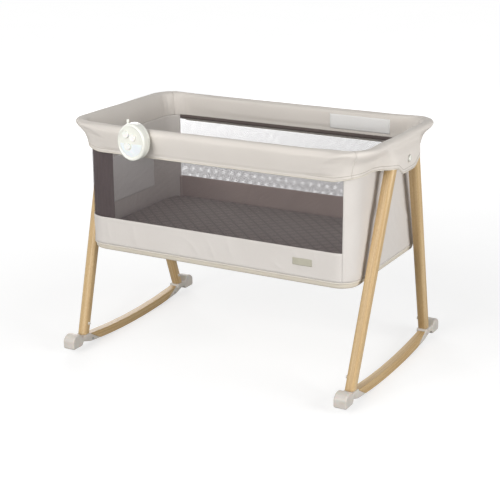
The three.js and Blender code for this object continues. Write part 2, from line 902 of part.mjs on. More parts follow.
function crossBar(side) {
  const reach = basketHalfDepth + wireOut - baseWireRadius - seatGap;
  const bottom = wireHeight - crossBarThickness / 2;
  const middle = (side * crossBarSpacing) / 2;
  return boxBetween(
    new THREE.Vector3(middle - crossBarWidth / 2, -reach, bottom),
    new THREE.Vector3(middle + crossBarWidth / 2, reach, bottom + crossBarThickness),
  );
}

function board() {
  const out = -trayInset - traySheet - seatGap;
  const rings = [levelRing(out, boardBottom), levelRing(out, boardTop)];
  return ringSolid(rings, rings.map(flatOutline));
}

function addBase() {
  const piping = sweepWall(
    wholeTurn([]),
    () => circleSection(-basePipingSink, trayTop + seatGap + basePipingRadius, basePipingRadius, pipingSides),
    true,
  );
  const wire = sweepWall(wholeTurn([]), () => circleSection(wireOut, wireHeight, baseWireRadius, wireSides), true);
  addPart("base_tray", tray(), "cloth");
  addPart("base_piping", piping, "cloth");
  addPart("base_wire_frame", wire, "steel");
  addPart("base_cross_bar_right", crossBar(1), "steel");
  addPart("base_cross_bar_left", crossBar(-1), "steel");
  addPart("base_board", board(), "board");
}

// Mattress: a crowned pad with drawn-in sides and diamond quilting sewn through its top

const mattressHalfLength = basketHalfLength - wallThickness - mattressEndGap;
const mattressHalfDepth = basketHalfDepth - wallThickness - mattressSideGap;

function roundedPlace(x, y) {
  const [cx, cy] = [mattressHalfLength - mattressCornerRadius, mattressHalfDepth - mattressCornerRadius];
  const [ox, oy] = [Math.max(0, Math.abs(x) - cx), Math.max(0, Math.abs(y) - cy)];
  const reach = Math.hypot(ox, oy);
  const pull = reach > 0 && ox > 0 && oy > 0 ? Math.max(ox, oy) / reach : 1;
  const signX = Math.sign(x);
  const signY = Math.sign(y);
  return [
    ox > 0 && oy > 0 ? signX * (cx + ox * pull) : x,
    ox > 0 && oy > 0 ? signY * (cy + oy * pull) : y,
  ];
}

const mattressBottom = boardTop + seatGap;

// Crowned in both directions; the middles of the diamonds puff up between their stitches
function mattressTop(x, y, isPuffed) {
  const along = 1 - (x / mattressHalfLength) ** 4;
  const across = 1 - (y / mattressHalfDepth) ** 4;
  return mattressBottom + mattressEdge + mattressCrown * along * across + (isPuffed ? mattressPuff : 0);
}

// Levels of the side below the top edge, as shares of the edge's height and of the draw-in
const mattressSideShares = [[0.5, 1], [0.12, 0], [0, 1]];

function mattress() {
  const columns = 4 * Math.round(mattressHalfLength / mattressQuilt);
  const rows = 4 * Math.round(mattressHalfDepth / mattressQuilt);
  const positions = [];
  const faces = [];
  const at = (i, j) => j * (columns + 1) + i;
  for (let j = 0; j <= rows; j += 1) {
    for (let i = 0; i <= columns; i += 1) {
      const flatX = mattressHalfLength * ((2 * i) / columns - 1);
      const flatY = mattressHalfDepth * ((2 * j) / rows - 1);
      const [x, y] = roundedPlace(flatX, flatY);
      const isInside = i > 0 && j > 0 && i < columns && j < rows;
      positions.push(new THREE.Vector3(x, y, mattressTop(x, y, isInside && (i + j) % 2 === 1)));
    }
  }
  for (let j = 0; j < rows; j += 1) {
    for (let i = 0; i < columns; i += 1) {
      const [a, b, c, d] = [at(i, j), at(i + 1, j), at(i + 1, j + 1), at(i, j + 1)];
      if ((i + j) % 2) faces.push([a, b, d], [b, c, d]);
      else faces.push([a, b, c], [a, c, d]);
    }
  }
  const rim = [
    ...Array.from({ length: columns }, (_, i) => at(i, 0)),
    ...Array.from({ length: rows }, (_, j) => at(columns, j)),
    ...Array.from({ length: columns }, (_, i) => at(columns - i, rows)),
    ...Array.from({ length: rows }, (_, j) => at(0, rows - j)),
  ];
  const levels = mattressSideShares.map(([rise, pull]) => ({
    height: mattressBottom + mattressEdge * rise,
    draw: mattressDraw * pull,
  }));
  let above = rim;
  levels.forEach(({ height, draw }) => {
    const below = rim.map((corner) => {
      const place = positions[corner];
      const pullX = 1 - draw / mattressHalfLength;
      const pullY = 1 - draw / mattressHalfDepth;
      positions.push(new THREE.Vector3(place.x * pullX, place.y * pullY, height));
      return positions.length - 1;
    });
    rim.forEach((_, k) => {
      const next = (k + 1) % rim.length;
      faces.push([above[k], below[k], below[next]], [above[k], below[next], above[next]]);
    });
    above = below;
  });
  const outline = above.map((k) => new THREE.Vector2(positions[k].x, positions[k].y));
  capFaces(outline).forEach(([i, j, k]) => faces.push([above[i], above[k], above[j]]));
  return facesOutward(positions, faces);
}

// Rockers and feet

function rockerUnder(y) {
  return rockerRadius - Math.sqrt(rockerRadius ** 2 - y ** 2);
}

function rockerOver(y) {
  return rockerRadius - Math.sqrt((rockerRadius - rockerThickness) ** 2 - y ** 2);
}

// The running edge is a chain of flats with one level flat in the middle
function flatArc(end, under, shift) {
  const flatHalf = end / rockerFacets;
  const stops = Array.from({ length: rockerFacets + 1 }, (_, i) => (2 * i - rockerFacets) * flatHalf);
  return stops.map((y) => [y, under(y) + shift]);
}

function rockerBar() {
  const lift = rockerUnder(rockerUnderEnd / rockerFacets);
  const under = flatArc(rockerUnderEnd, rockerUnder, -lift);
  const over = flatArc(rockerOverEnd, rockerOver, 0).reverse();
  return plateAlongLength([...under, ...over], rockerX, rockerWidth, rockerEdge);
}

function rockerTenon(grow) {
  const end = rockerTenonEnd + grow;
  const under = flatArc(end, rockerUnder, rockerTenonInset - grow);
  const over = flatArc(end, rockerOver, grow - rockerTenonInset).reverse();
  return plateAlongLength([...under, ...over], rockerX, rockerTenonWidth + 2 * grow);
}

// Outline of the foot cap behind the wood's slanted end, as seen from the side
function footSleeve() {
  const under = rockerUnder(rockerUnderEnd) + seatGap;
  return plateAlongLength([
    [rockerUnderEnd + footTipSetback, under],
    [rockerOverEnd, rockerUnder(rockerOverEnd)],
    [footStopStart, footStopBottom + footStopNotch],
    [footStopStart + footBevel, footStopBottom + footStopNotch],
    [footStopStart + footBevel, legFootHeight],
    [rockerOverEnd + footBevel, legFootHeight],
    [rockerOverEnd + footMouthGap, rockerOver(rockerOverEnd)],
  ], rockerX, footSleeveWidth, footSleeveBevel);
}

function footSeat() {
  const low = legFootHeight - footSeatDrop;
  return plateAlongLength([
    [legFootY - footSeatHalfLength, low + footBevel],
    [legFootY - footSeatHalfLength + footBevel, low],
    [footStopStart + footBevel, low],
    [footStopStart + footBevel, legFootHeight],
    [legFootY - footSeatHalfLength, legFootHeight],
  ], (rockerX + legFootX) / 2, footSeatWidth, footBevel / 2);
}

const stopRoundShares = [[0.12, 0.72], [0.3, 0.94], [0.55, 1], [0.8, 0.9], [1, 0.66]];

function footStop() {
  const depth = footStopEnd - footStopStart;
  const height = footStopTop - footStopBottom;
  const round = stopRoundShares.map(([y, z]) => [footStopStart + depth * y, footStopBottom + height * z]);
  return plateAlongLength([
    [footStopStart, footStopBottom + footStopNotch],
    [footStopStart + footBevel, footStopBottom],
    [footStopEnd - footBevel / 2, footStopBottom],
    [footStopEnd, footStopBottom + footBevel],
    ...round.reverse(),
    [footStopStart, legFootHeight - footBevel],
  ], rockerX, footStopWidth, footBevel);
}

// The screw enters the sleeve from the side that looks to the middle of the bassinet
function footScrew(grow) {
  const profile = [
    [0, -grow],
    [footScrewHeadRadius + grow, -grow],
    [footScrewHeadRadius + grow, footScrewHeadDepth + grow],
    [footScrewShankRadius + grow, footScrewHeadDepth + grow],
    [footScrewShankRadius + grow, footScrewLength + grow],
    [0, footScrewLength + grow],
  ].map(([radius, depth]) => new THREE.Vector2(radius, depth));
  const height = (rockerUnder(footScrewSetback) + rockerOver(footScrewSetback)) / 2 - footScrewDrop;
  const screw = new THREE.LatheGeometry(profile, smallRoundSides).rotateZ(-quarterTurn);
  return closed(screw).translate(rockerX - footSleeveWidth / 2, footScrewSetback, height);
}

function footCap() {
  return cut(
    join(footSleeve(), footSeat(), footStop()),
    rockerTenon(seatGap),
    legStud(legFootHeight - legTenonLength - seatGap, legFootHeight + cutOverrun, legTenonHalf + seatGap),
    footScrew(seatGap),
  );
}

const cornersOfStand = [
  ["back_right", (geometry) => geometry],
  ["front_right", mirrorY],
  ["back_left", mirrorX],
  ["front_left", (geometry) => mirrorX(mirrorY(geometry))],
];

function addStand() {
  const rocker = join(rockerBar(), rockerTenon(0));
  addPart("rocker_right", rocker, "wood");
  addPart("rocker_left", mirrorX(rocker), "wood");
  const leg = legBody();
  const foot = footCap();
  cornersOfStand.forEach(([corner, place]) => {
    addPart(`leg_${corner}`, place(leg), "wood");
    addPart(`foot_${corner}`, place(foot), "footPlastic");
    addPart(`leg_plug_${corner}`, place(legPlug(0)), "gloss");
    addPart(`foot_screw_${corner}`, place(footScrew(0)), "steel");
  });
}

// Blank patches

function addPatches() {
  const endFace = -(basketHalfLength - wallThickness - seatGap);
  addPart("end_wall_patch", boxBetween(
    new THREE.Vector3(endFace, endPatchShift - endPatchWidth / 2, endPatchBottom),
    new THREE.Vector3(endFace + patchThickness, endPatchShift + endPatchWidth / 2, endPatchBottom + endPatchHeight),
  ), "patch");
  const railFace = basketHalfDepth - wallThickness - seatGap;
  addPart("rail_patch", boxBetween(
    new THREE.Vector3(railPatchX - railPatchWidth / 2, railFace - patchThickness, railPatchBottom),
    new THREE.Vector3(railPatchX + railPatchWidth / 2, railFace, railPatchBottom + railPatchHeight),
  ), "patch");
  const frontFace = -(basketHalfDepth + seatGap);
  addPart("front_tag", boxBetween(
    new THREE.Vector3(frontTagX - frontTagWidth / 2, frontFace - patchThickness, frontTagBottom),
    new THREE.Vector3(frontTagX + frontTagWidth / 2, frontFace, frontTagBottom + frontTagHeight),
  ), "tag");
}

// Sound and light unit, made lying on its back and then stood against the rail

const unitGroup = new THREE.Group();
const railOuter = basketHalfDepth + railSideFlare + seatGap;
unitGroup.position.set(unitX, -(railOuter + clipThickness + seatGap), unitHeight);
unitGroup.rotation.x = quarterTurn;
bassinet.add(unitGroup);

const unitFaceHeight = unitBackDepth + seatGap + unitFrontDepth - unitFaceSink;
const ovalShare = unitHalfWidth / unitHalfHeight;

function addUnitPart(name, geometry, finish) {
  unitGroup.add(addPart(name, geometry, finish));
}

// A turned shape, narrowed to the case's oval
function ovalLathe(profile) {
  const points = profile.map(([radius, height]) => new THREE.Vector2(radius, height));
  const turned = new THREE.LatheGeometry(points, wideRoundSides).rotateX(quarterTurn);
  return closed(turned.scale(ovalShare, 1, 1));
}

function disc(radius, bottom, top) {
  const round = new THREE.CylinderGeometry(radius, radius, top - bottom, roundSides);
  return round.rotateX(quarterTurn).translate(0, 0, (bottom + top) / 2);
}

function unitHatch(grow, bottom, top) {
  const half = unitHatchWidth / 2 + grow;
  const tall = unitHatchHeight / 2 + grow;
  return boxBetween(
    new THREE.Vector3(-half, -unitHatchDrop - tall, bottom),
    new THREE.Vector3(half, tall - unitHatchDrop, top),
  );
}

function speakerSlots() {
  const middle = (unitBackDepth + unitRim) / 2;
  return Array.from({ length: unitSlotCount }, (_, i) => {
    const shift = (i - (unitSlotCount - 1) / 2) * unitSlotPitch;
    return boxBetween(
      new THREE.Vector3(unitHalfWidth - unitRim, shift - unitSlotWidth / 2, middle - unitSlotHeight / 2),
      new THREE.Vector3(unitHalfWidth + cutOverrun, shift + unitSlotWidth / 2, middle + unitSlotHeight / 2),
    );
  });
}

function unitBackShell() {
  const shell = ovalLathe([
    [0, 0],
    [unitHalfHeight - unitRim, 0],
    [unitHalfHeight - unitRim / 3, unitRim / 2],
    [unitHalfHeight, unitRim + unitWall],
    [unitHalfHeight, unitBackDepth],
    [unitHalfHeight - unitWall, unitBackDepth],
    [unitHalfHeight - unitWall, unitRim + unitWall],
    [unitHalfHeight - unitRim, unitWall + unitHatchThickness],
    [0, unitWall + unitHatchThickness],
  ]);
  return cut(
    shell,
    unitHatch(seatGap, -cutOverrun, unitHatchThickness + seatGap),
    unitHatch(-unitWall, -cutOverrun, unitBackDepth),
    ...speakerSlots(),
  );
}

const lampHalfHeight = unitHalfHeight - unitLipInset - unitLampInset;
const lampHalfWidth = lampHalfHeight * ovalShare;

function lampOutline(grow) {
  const tall = lampHalfHeight + grow;
  const reach = Math.asin((unitLampTop + grow) / tall);
  const shape = new THREE.Shape();
  shape.absellipse(0, 0, lampHalfWidth + grow, tall, Math.PI - reach, fullTurn + reach, false);
  shape.closePath();
  return shape;
}

function buttonDisc(place, radius, bottom, top) {
  return disc(radius, bottom, top).translate(place.across, place.up, 0);
}

// The lamp fills the lower part of the face, round a collar that carries the light button
function lampSlab(grow, bottom, top) {
  const slab = new THREE.ExtrudeGeometry(lampOutline(grow), {
    depth: top - bottom,
    bevelEnabled: false,
    curveSegments: roundSides,
  });
  slab.translate(0, 0, bottom);
  const collar = unitButtonRadius + unitLampCollar - grow;
  return cut(slab, buttonDisc(unitButtonPlaces.unit_light_button, collar, bottom - seatGap, top + seatGap));
}

function unitFrontShell() {
  const base = unitBackDepth + seatGap;
  const crest = base + unitFrontDepth;
  const lip = unitHalfHeight - unitLipInset;
  const shell = ovalLathe([
    [unitHalfHeight, base],
    [unitHalfHeight, crest - unitRim],
    [unitHalfHeight - unitRim / 2, crest - unitRim / 4],
    [unitHalfHeight - unitRim, crest],
    [lip, unitFaceHeight],
    [0, unitFaceHeight],
    [0, unitFaceHeight - unitWall],
    [lip, unitFaceHeight - unitWall],
    [unitHalfHeight - unitWall, crest - unitRim - unitWall],
    [unitHalfHeight - unitWall, base],
    [unitHalfHeight, base],
  ]);
  const bottom = unitFaceHeight - unitLampDepth - cutOverrun;
  const top = crest + cutOverrun;
  const holes = Object.values(unitButtonPlaces).map((place) => (
    buttonDisc(place, unitButtonRadius + seatGap, bottom, top)
  ));
  return cut(shell, lampSlab(seatGap, bottom, top), ...holes);
}

// The button's flange sits behind the face, and holds the button in
function unitButton(place) {
  const top = unitFaceHeight + unitButtonProud;
  const back = top - unitButtonDepth;
  const flangeTop = unitFaceHeight - unitWall - seatGap;
  return join(
    buttonDisc(place, unitButtonRadius, back, top),
    buttonDisc(place, unitButtonRadius + unitButtonFlange, back - unitButtonFlange, flangeTop),
  );
}

function unitCell(side) {
  const height = unitHatchThickness + seatGap + unitCellRadius;
  const cell = new THREE.CylinderGeometry(unitCellRadius, unitCellRadius, unitCellLength, roundSides);
  return cell.rotateZ(quarterTurn).translate(0, (side * unitCellPitch) / 2 - unitHatchDrop, height);
}

// The circuit board fills the case just behind the joint between its shells
function unitBoard(bottom, top) {
  const edge = unitHalfHeight - unitWall - seatGap / ovalShare;
  return ovalLathe([[0, bottom], [edge, bottom], [edge, top], [0, top]]);
}

// A bent plate: down behind the unit, over the rail and down inside it
function unitClip() {
  const inner = basketHalfDepth - wallThickness - seatGap;
  const over = railTop + seatGap;
  const root = unitHeight - unitHatchDrop + unitHatchHeight / 2 + clipHatchGap;
  const plate = plateAlongLength([
    [-railOuter - clipThickness, root],
    [-railOuter, root],
    [-railOuter, over],
    [-inner, over],
    [-inner, railTop - clipReach],
    [-inner + clipThickness, railTop - clipReach],
    [-inner + clipThickness, over + clipThickness / 2],
    [-inner, over + clipThickness],
    [-railOuter, over + clipThickness],
    [-railOuter - clipThickness, over],
  ], unitX, clipWidth);
  const tab = plateAlongLength([
    [-railOuter - clipThickness / 2, over],
    [-railOuter + clipThickness, over],
    [-railOuter + clipThickness, over + clipThickness / 2],
    [-railOuter, over + clipTabRise],
    [-railOuter - clipThickness / 2, over + clipTabRise],
  ], unitX - (clipWidth - clipTabWidth) / 2, clipTabWidth);
  return join(plate, tab);
}

function addUnit() {
  addUnitPart("unit_back_shell", unitBackShell(), "gloss");
  addUnitPart("unit_front_shell", unitFrontShell(), "gloss");
  addUnitPart("unit_lamp_lens", lampSlab(0, unitFaceHeight - unitLampDepth, unitFaceHeight), "lamp");
  Object.entries(unitButtonPlaces).forEach(([name, place]) => {
    addUnitPart(name, unitButton(place), "rubber");
  });
  addUnitPart("unit_battery_hatch", unitHatch(0, 0, unitHatchThickness), "gloss");
  addUnitPart("unit_battery_upper", unitCell(1), "steel");
  addUnitPart("unit_battery_lower", unitCell(-1), "steel");
  const boardHeight = unitBackDepth - seatGap;
  addUnitPart("unit_circuit_board", unitBoard(boardHeight - unitBoardThickness, boardHeight), "circuit");
  const speakerBottom = boardHeight + seatGap;
  addUnitPart("unit_speaker", disc(unitSpeakerRadius, speakerBottom, speakerBottom + unitSpeakerDepth), "steel");
  addPart("unit_clip", unitClip(), "gloss");
}

addRail();
addWalls();
addBase();
addHubs();
addPart("mattress_pad", mattress(), "quilt");
addStand();
addPatches();
addUnit();

export default bassinet;
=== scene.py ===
import math

import bpy
from mathutils import Matrix, Vector, noise


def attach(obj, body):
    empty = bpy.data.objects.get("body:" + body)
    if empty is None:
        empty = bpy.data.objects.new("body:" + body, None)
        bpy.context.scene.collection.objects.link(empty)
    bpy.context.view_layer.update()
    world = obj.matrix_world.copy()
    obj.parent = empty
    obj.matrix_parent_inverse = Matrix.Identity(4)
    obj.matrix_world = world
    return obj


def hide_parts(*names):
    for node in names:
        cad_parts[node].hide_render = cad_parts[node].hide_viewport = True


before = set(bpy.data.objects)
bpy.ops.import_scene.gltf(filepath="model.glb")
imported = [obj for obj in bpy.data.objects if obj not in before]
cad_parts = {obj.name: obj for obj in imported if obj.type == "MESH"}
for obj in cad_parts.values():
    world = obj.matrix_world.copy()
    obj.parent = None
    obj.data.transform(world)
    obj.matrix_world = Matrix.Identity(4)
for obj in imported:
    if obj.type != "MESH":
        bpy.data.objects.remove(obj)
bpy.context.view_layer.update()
mm = 0.001
weldGap = 0.02 * mm


# Selecting and finishing

def leaveEdit():
    if bpy.context.object and bpy.context.object.mode != "OBJECT":
        bpy.ops.object.mode_set(mode="OBJECT")


def selectOnly(*objects):
    leaveEdit()
    bpy.ops.object.select_all(action="DESELECT")
    for obj in objects:
        obj.select_set(True)
    bpy.context.view_layer.objects.active = objects[0]


def clearSelection():
    leaveEdit()
    bpy.ops.object.select_all(action="DESELECT")


def edit(obj, kind="FACE", test=None):  # edit mode, with what passes the test selected, or all
    selectOnly(obj)
    mesh = obj.data
    parts = {"VERT": mesh.vertices, "EDGE": mesh.edges, "FACE": mesh.polygons}
    for group in parts.values():
        group.foreach_set("select", [test is None] * len(group))
    if test is not None:
        for item in parts[kind]:
            item.select = bool(test(item))
    bpy.context.tool_settings.mesh_select_mode = (kind == "VERT", kind == "EDGE", kind == "FACE")
    bpy.ops.object.mode_set(mode="EDIT")


def deleteWhere(obj, kind, test, context=None):
    edit(obj, kind, test)
    bpy.ops.mesh.delete(type=context or kind)
    leaveEdit()


def applyModifier(obj, kind, **settings):
    selectOnly(obj)
    modifier = obj.modifiers.new(kind.title(), kind)
    for name, value in settings.items():
        setattr(modifier, name, value)
    bpy.ops.object.modifier_apply(modifier=modifier.name)


# Lengths handed to the helpers below are in millimetres

def thicken(obj, thickness, offset=-1):
    applyModifier(obj, "SOLIDIFY", thickness=thickness * mm, offset=offset)


def roundEdges(obj, width, segments, angle):
    applyModifier(obj, "BEVEL", width=width * mm, segments=segments, limit_method="ANGLE",
                  angle_limit=math.radians(angle))


def cutAway(obj, tool):
    applyModifier(obj, "BOOLEAN", object=tool, operation="DIFFERENCE")
    bpy.data.objects.remove(tool)


def extrude(x, y, z):
    bpy.ops.mesh.extrude_region_move(TRANSFORM_OT_translate={"value": (x * mm, y * mm, z * mm)})


def newDisc(sides, radius=1 / mm, upright=False):
    clearSelection()
    bpy.ops.mesh.primitive_circle_add(vertices=sides, radius=radius * mm, fill_type="NGON",
                                      rotation=(math.pi / 2 if upright else 0, 0, 0))
    bpy.ops.object.transform_apply(location=True, rotation=True, scale=True)
    return bpy.context.object


def scaleUvs(obj, width, height):
    for item in obj.data.uv_layers[0].data:
        item.uv = (item.uv.x * width * mm, item.uv.y * height * mm)


def facesOut(obj):
    edit(obj)
    bpy.ops.mesh.remove_doubles(threshold=weldGap)
    bpy.ops.mesh.normals_make_consistent(inside=False)
    leaveEdit()


def pickOpenEdges(obj):
    edit(obj, "EDGE", lambda edge: False)
    bpy.ops.mesh.select_non_manifold()


def fillPicked():  # one face on the chosen edges, and every face turned outward
    bpy.ops.mesh.edge_face_add()
    bpy.ops.mesh.select_all(action="SELECT")
    bpy.ops.mesh.normals_make_consistent(inside=False)
    leaveEdit()


def finishPiece(obj, name, body, material, slotName, nodes=(), angle=None):
    selectOnly(obj)
    obj.name = name
    bpy.ops.object.transform_apply(location=True, rotation=True, scale=True)
    if angle is None:
        bpy.ops.object.shade_smooth()
    else:
        bpy.ops.object.shade_smooth_by_angle(angle=math.radians(angle))
    obj.data.materials.clear()
    obj.data.materials.append(material)
    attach(obj, body)
    if nodes:
        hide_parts(*nodes)


def ownCopy(obj, matrix):
    copy = obj.copy()
    copy.data = obj.data.copy()
    bpy.context.scene.collection.objects.link(copy)
    copy.data.transform(matrix)
    return copy


def lerp(a, b, share):
    return a + (b - a) * share


def smooth(share):
    share = min(1, max(0, share))
    return share * share * (3 - 2 * share)


def drift(x, y, seed):  # a smooth random wander between -1 and 1
    return noise.noise(Vector((x, y, seed)))


# Materials

def linear(hexColor):  # sRGB hex to the linear colour that the shaders mix
    shares = [int(hexColor[i:i + 2], 16) / 255 for i in (1, 3, 5)]
    return [s / 12.92 if s <= 0.04045 else ((s + 0.055) / 1.055) ** 2.4 for s in shares] + [1]


def addNode(tree, kind, inputs=None, **settings):
    node = tree.nodes.new(kind)
    for name, value in settings.items():
        setattr(node, name, value)
    for name, value in (inputs or {}).items():
        if isinstance(value, bpy.types.NodeSocket):
            tree.links.new(value, node.inputs[name])
        else:
            node.inputs[name].default_value = value
    return node


def newMaterial(name, **sockets):
    material = bpy.data.materials.new(name)
    material.use_nodes = True
    tree = material.node_tree
    shader = tree.nodes["Principled BSDF"]
    for socket, value in sockets.items():
        shader.inputs[socket.replace("_", " ")].default_value = value
    return material, tree, shader


def bandScale(period):  # a Wave texture turns once in this many metres
    return 2 * math.pi / (20 * period)


def shade(tree, factor, dark, light, low=0.3, high=0.7, middle=None):
    ramp = addNode(tree, "ShaderNodeValToRGB", {"Fac": factor})
    ramp.color_ramp.elements[0].position = low
    ramp.color_ramp.elements[1].position = high
    ramp.color_ramp.elements[0].color = linear(dark)
    ramp.color_ramp.elements[1].color = linear(light)
    if middle:
        ramp.color_ramp.elements.new(0.5).color = linear(middle)
    return ramp.outputs["Color"]


def mixColors(tree, factor, first, second, blend="MIX"):
    inputs = {0: factor, 6: first, 7: second}
    return addNode(tree, "ShaderNodeMix", inputs, data_type="RGBA", blend_type=blend).outputs[2]


def bumpOn(tree, shader, height, strength, distance):
    inputs = {"Height": height, "Strength": strength, "Distance": distance * mm}
    tree.links.new(addNode(tree, "ShaderNodeBump", inputs).outputs["Normal"], shader.inputs["Normal"])


def speckle(tree, place, size, detail=2):
    inputs = {"Vector": place, "Scale": 1 / (size * mm), "Detail": detail}
    return addNode(tree, "ShaderNodeTexNoise", inputs).outputs["Fac"]


def roughBetween(tree, shader, factor, low, high):
    rough = addNode(tree, "ShaderNodeMapRange", {"Value": factor, "To Min": low, "To Max": high})
    tree.links.new(rough.outputs["Result"], shader.inputs["Roughness"])


weave = {
    "threadPitch": 1.5,  # the real threads stand 0.4 mm apart, drawn coarser so that they show
    "slubLength": 9,
    "shadePatch": 160,
    "patchShare": 0.75,
    "threadShare": 0.3,
    "relief": 0.25,
}


def wovenMaterial(name, dark, light, pitch=weave["threadPitch"], strength=0.3, roughness=0.92, sheen=0.1,
                  stitchShadeColor=None):
    material, tree, shader = newMaterial(name, Roughness=roughness, Sheen_Weight=sheen, Sheen_Roughness=0.5,
                                         Specular_IOR_Level=0.25)
    place = addNode(tree, "ShaderNodeUVMap").outputs["UV"]
    bands = {"Vector": place, "Scale": bandScale(pitch * mm), "Distortion": 0.6, "Detail Scale": 1.5}
    warp, weft = [addNode(tree, "ShaderNodeTexWave", bands, bands_direction=way).outputs["Fac"]
                  for way in "XY"]
    threads = addNode(tree, "ShaderNodeMath", {0: warp, 1: weft}, operation="MULTIPLY").outputs[0]
    slub = speckle(tree, place, weave["slubLength"], 3)
    clouded = mixColors(tree, weave["patchShare"], slub, speckle(tree, place, weave["shadePatch"]))
    tone = shade(tree, mixColors(tree, weave["threadShare"], clouded, threads), dark, light, 0.15, 0.75)
    if stitchShadeColor:  # painted shade down in the stitched lines
        line = addNode(tree, "ShaderNodeAttribute", attribute_name="stitchLineShade")
        tone = mixColors(tree, line.outputs["Fac"], tone, linear(stitchShadeColor))
    tree.links.new(tone, shader.inputs["Base Color"])
    bumpOn(tree, shader, threads, strength, weave["relief"])
    return material


# Canvas of spun polyester, plain woven and brushed: dull and even, with a faint sheen along its curves
canvas = wovenMaterial("woven polyester canvas", "#d9d2ca", "#e2dcd5")
# The same canvas, of the cooler batch that the wall panels are cut from
panelCanvas = wovenMaterial("panel canvas", "#d2ccc6", "#dad5d0")
# The inner side of the low walls, drawn browner and darker than the canvas: painted shade deep inside the
# basket
innerShadeCloth = wovenMaterial("canvas with painted inner shade", "#aa9a92", "#bbaca4", pitch=0.9, sheen=0.2)
# The same canvas cut on the bias for the cords along its edges
biasCanvas = wovenMaterial("bias canvas binding", "#d6cfc3", "#dfd9ce", pitch=1.1)
# Woven polyester tape, dull taupe
taupeTape = wovenMaterial("woven taupe tape", "#5f5552", "#6d6360", pitch=1.1)
# Warp-knitted polyester net: smooth filament, so a little brighter where it turns to the light
netThread = wovenMaterial("knitted polyester net", "#544a4d", "#665c60", pitch=0.8, strength=0.1,
                          roughness=0.7)
# Quilted jersey over foam: soft and matt, with painted shade down in the stitched lines
quiltedJersey = wovenMaterial("quilted jersey", "#7e766e", "#938b82", pitch=5.5, strength=0.7, sheen=0.2,
                              stitchShadeColor="#3f3935")
# Coated polyester of the tray, a little greener and smoother than the canvas
coatedCloth = wovenMaterial("coated polyester", "#cfc6b6", "#d9d1c3", pitch=1.2, strength=0.2, roughness=0.7)
# Satin ribbon of a sewn-on patch, left blank
satinPatch = wovenMaterial("satin ribbon", "#e8e6e3", "#f1f0ee", pitch=0.9, strength=0.15, roughness=0.55)
# Woven cotton ribbon
cottonTag = wovenMaterial("woven cotton ribbon", "#b1ad9c", "#c1bdae", pitch=1.2)
# Spun polyester sewing thread, drawn darker than the canvas: partly its own colour, partly painted shade of
# the stitched groove it lies in
grooveShadeThread = wovenMaterial("sewing thread with painted groove shade", "#a79f94", "#b5ada2", pitch=0.5, roughness=0.6)


cloudSize = 45  # the faint unevenness of a moulding


def plasticMaterial(name, dark, light, roughness, grit, strength, coat=0, subsurface=0):
    material, tree, shader = newMaterial(name, Coat_Weight=coat, Coat_Roughness=0.08, IOR=1.5,
                                         Subsurface_Weight=subsurface, Subsurface_Scale=2 * mm)
    place = addNode(tree, "ShaderNodeTexCoord").outputs["Object"]
    cloudy = speckle(tree, place, cloudSize)
    tree.links.new(shade(tree, cloudy, dark, light), shader.inputs["Base Color"])
    roughBetween(tree, shader, cloudy, roughness - 0.04, roughness + 0.05)
    bumpOn(tree, shader, speckle(tree, place, grit), strength, 0.1)
    return material


# Polypropylene, moulded with a fine spark finish: waxy, softly lit from within
feetPlastic = plasticMaterial("moulded polypropylene", "#cbc4bc", "#d8d2ca", 0.48, 0.9, 0.25, subsurface=0.08)
# ABS from a textured mould
hubPlastic = plasticMaterial("textured ABS", "#cfcac1", "#dad6ce", 0.55, 0.8, 0.3)
# ABS from a polished mould, bright and hard
glossPlastic = plasticMaterial("polished ABS", "#ecece3", "#f3f3ea", 0.2, 6, 0.04, coat=0.3)
# The face inside the rim: the same ABS with a satin finish, a shade greyer
facePlastic = plasticMaterial("satin ABS", "#e8e8de", "#efefe6", 0.38, 0.8, 0.12)
# Frosted polycarbonate over the lamp, slightly blue
lampPlastic = plasticMaterial("frosted polycarbonate", "#eaf0f4", "#f2f6f9", 0.32, 0.7, 0.1, subsurface=0.15)
# Silicone buttons, matt and soft
buttonRubber = plasticMaterial("moulded silicone", "#f1f1ec", "#f8f8f4", 0.42, 0.8, 0.1, subsurface=0.1)


def metalMaterial(name, dark, light, roughness, metallic, grit):
    material, tree, shader = newMaterial(name, Metallic=metallic)
    grains = speckle(tree, addNode(tree, "ShaderNodeTexCoord").outputs["Object"], grit, 4)
    tree.links.new(shade(tree, grains, dark, light), shader.inputs["Base Color"])
    roughBetween(tree, shader, grains, roughness - 0.08, roughness + 0.1)
    bumpOn(tree, shader, grains, 0.1, 0.1)
    return material


# Zinc-plated steel, drawn and bright with a soft spangle
zincSteel = metalMaterial("zinc plated steel", "#8f9091", "#b0b1b0", 0.36, 1.0, 3)
# Powder coat on the wire and bars: pale grey, with its fine orange peel
coatedSteel = metalMaterial("powder coated steel", "#a3a29d", "#b2b1ab", 0.5, 0.0, 1.6)
# Solder-masked glass fibre
circuitBoard = metalMaterial("solder masked board", "#27543a", "#356b4c", 0.4, 0.0, 4)


beechGrain = {
    "ringWidth": 3.4,  # the year rings of beech as the saw leaves them
    "streakLength": 260,
    "poreWidth": 0.7,  # real pores are 0.1 mm wide, drawn coarser so that they show
    "poreLength": 7,
    "shift": (110, 70, 310),  # from one piece's pattern to the next
}


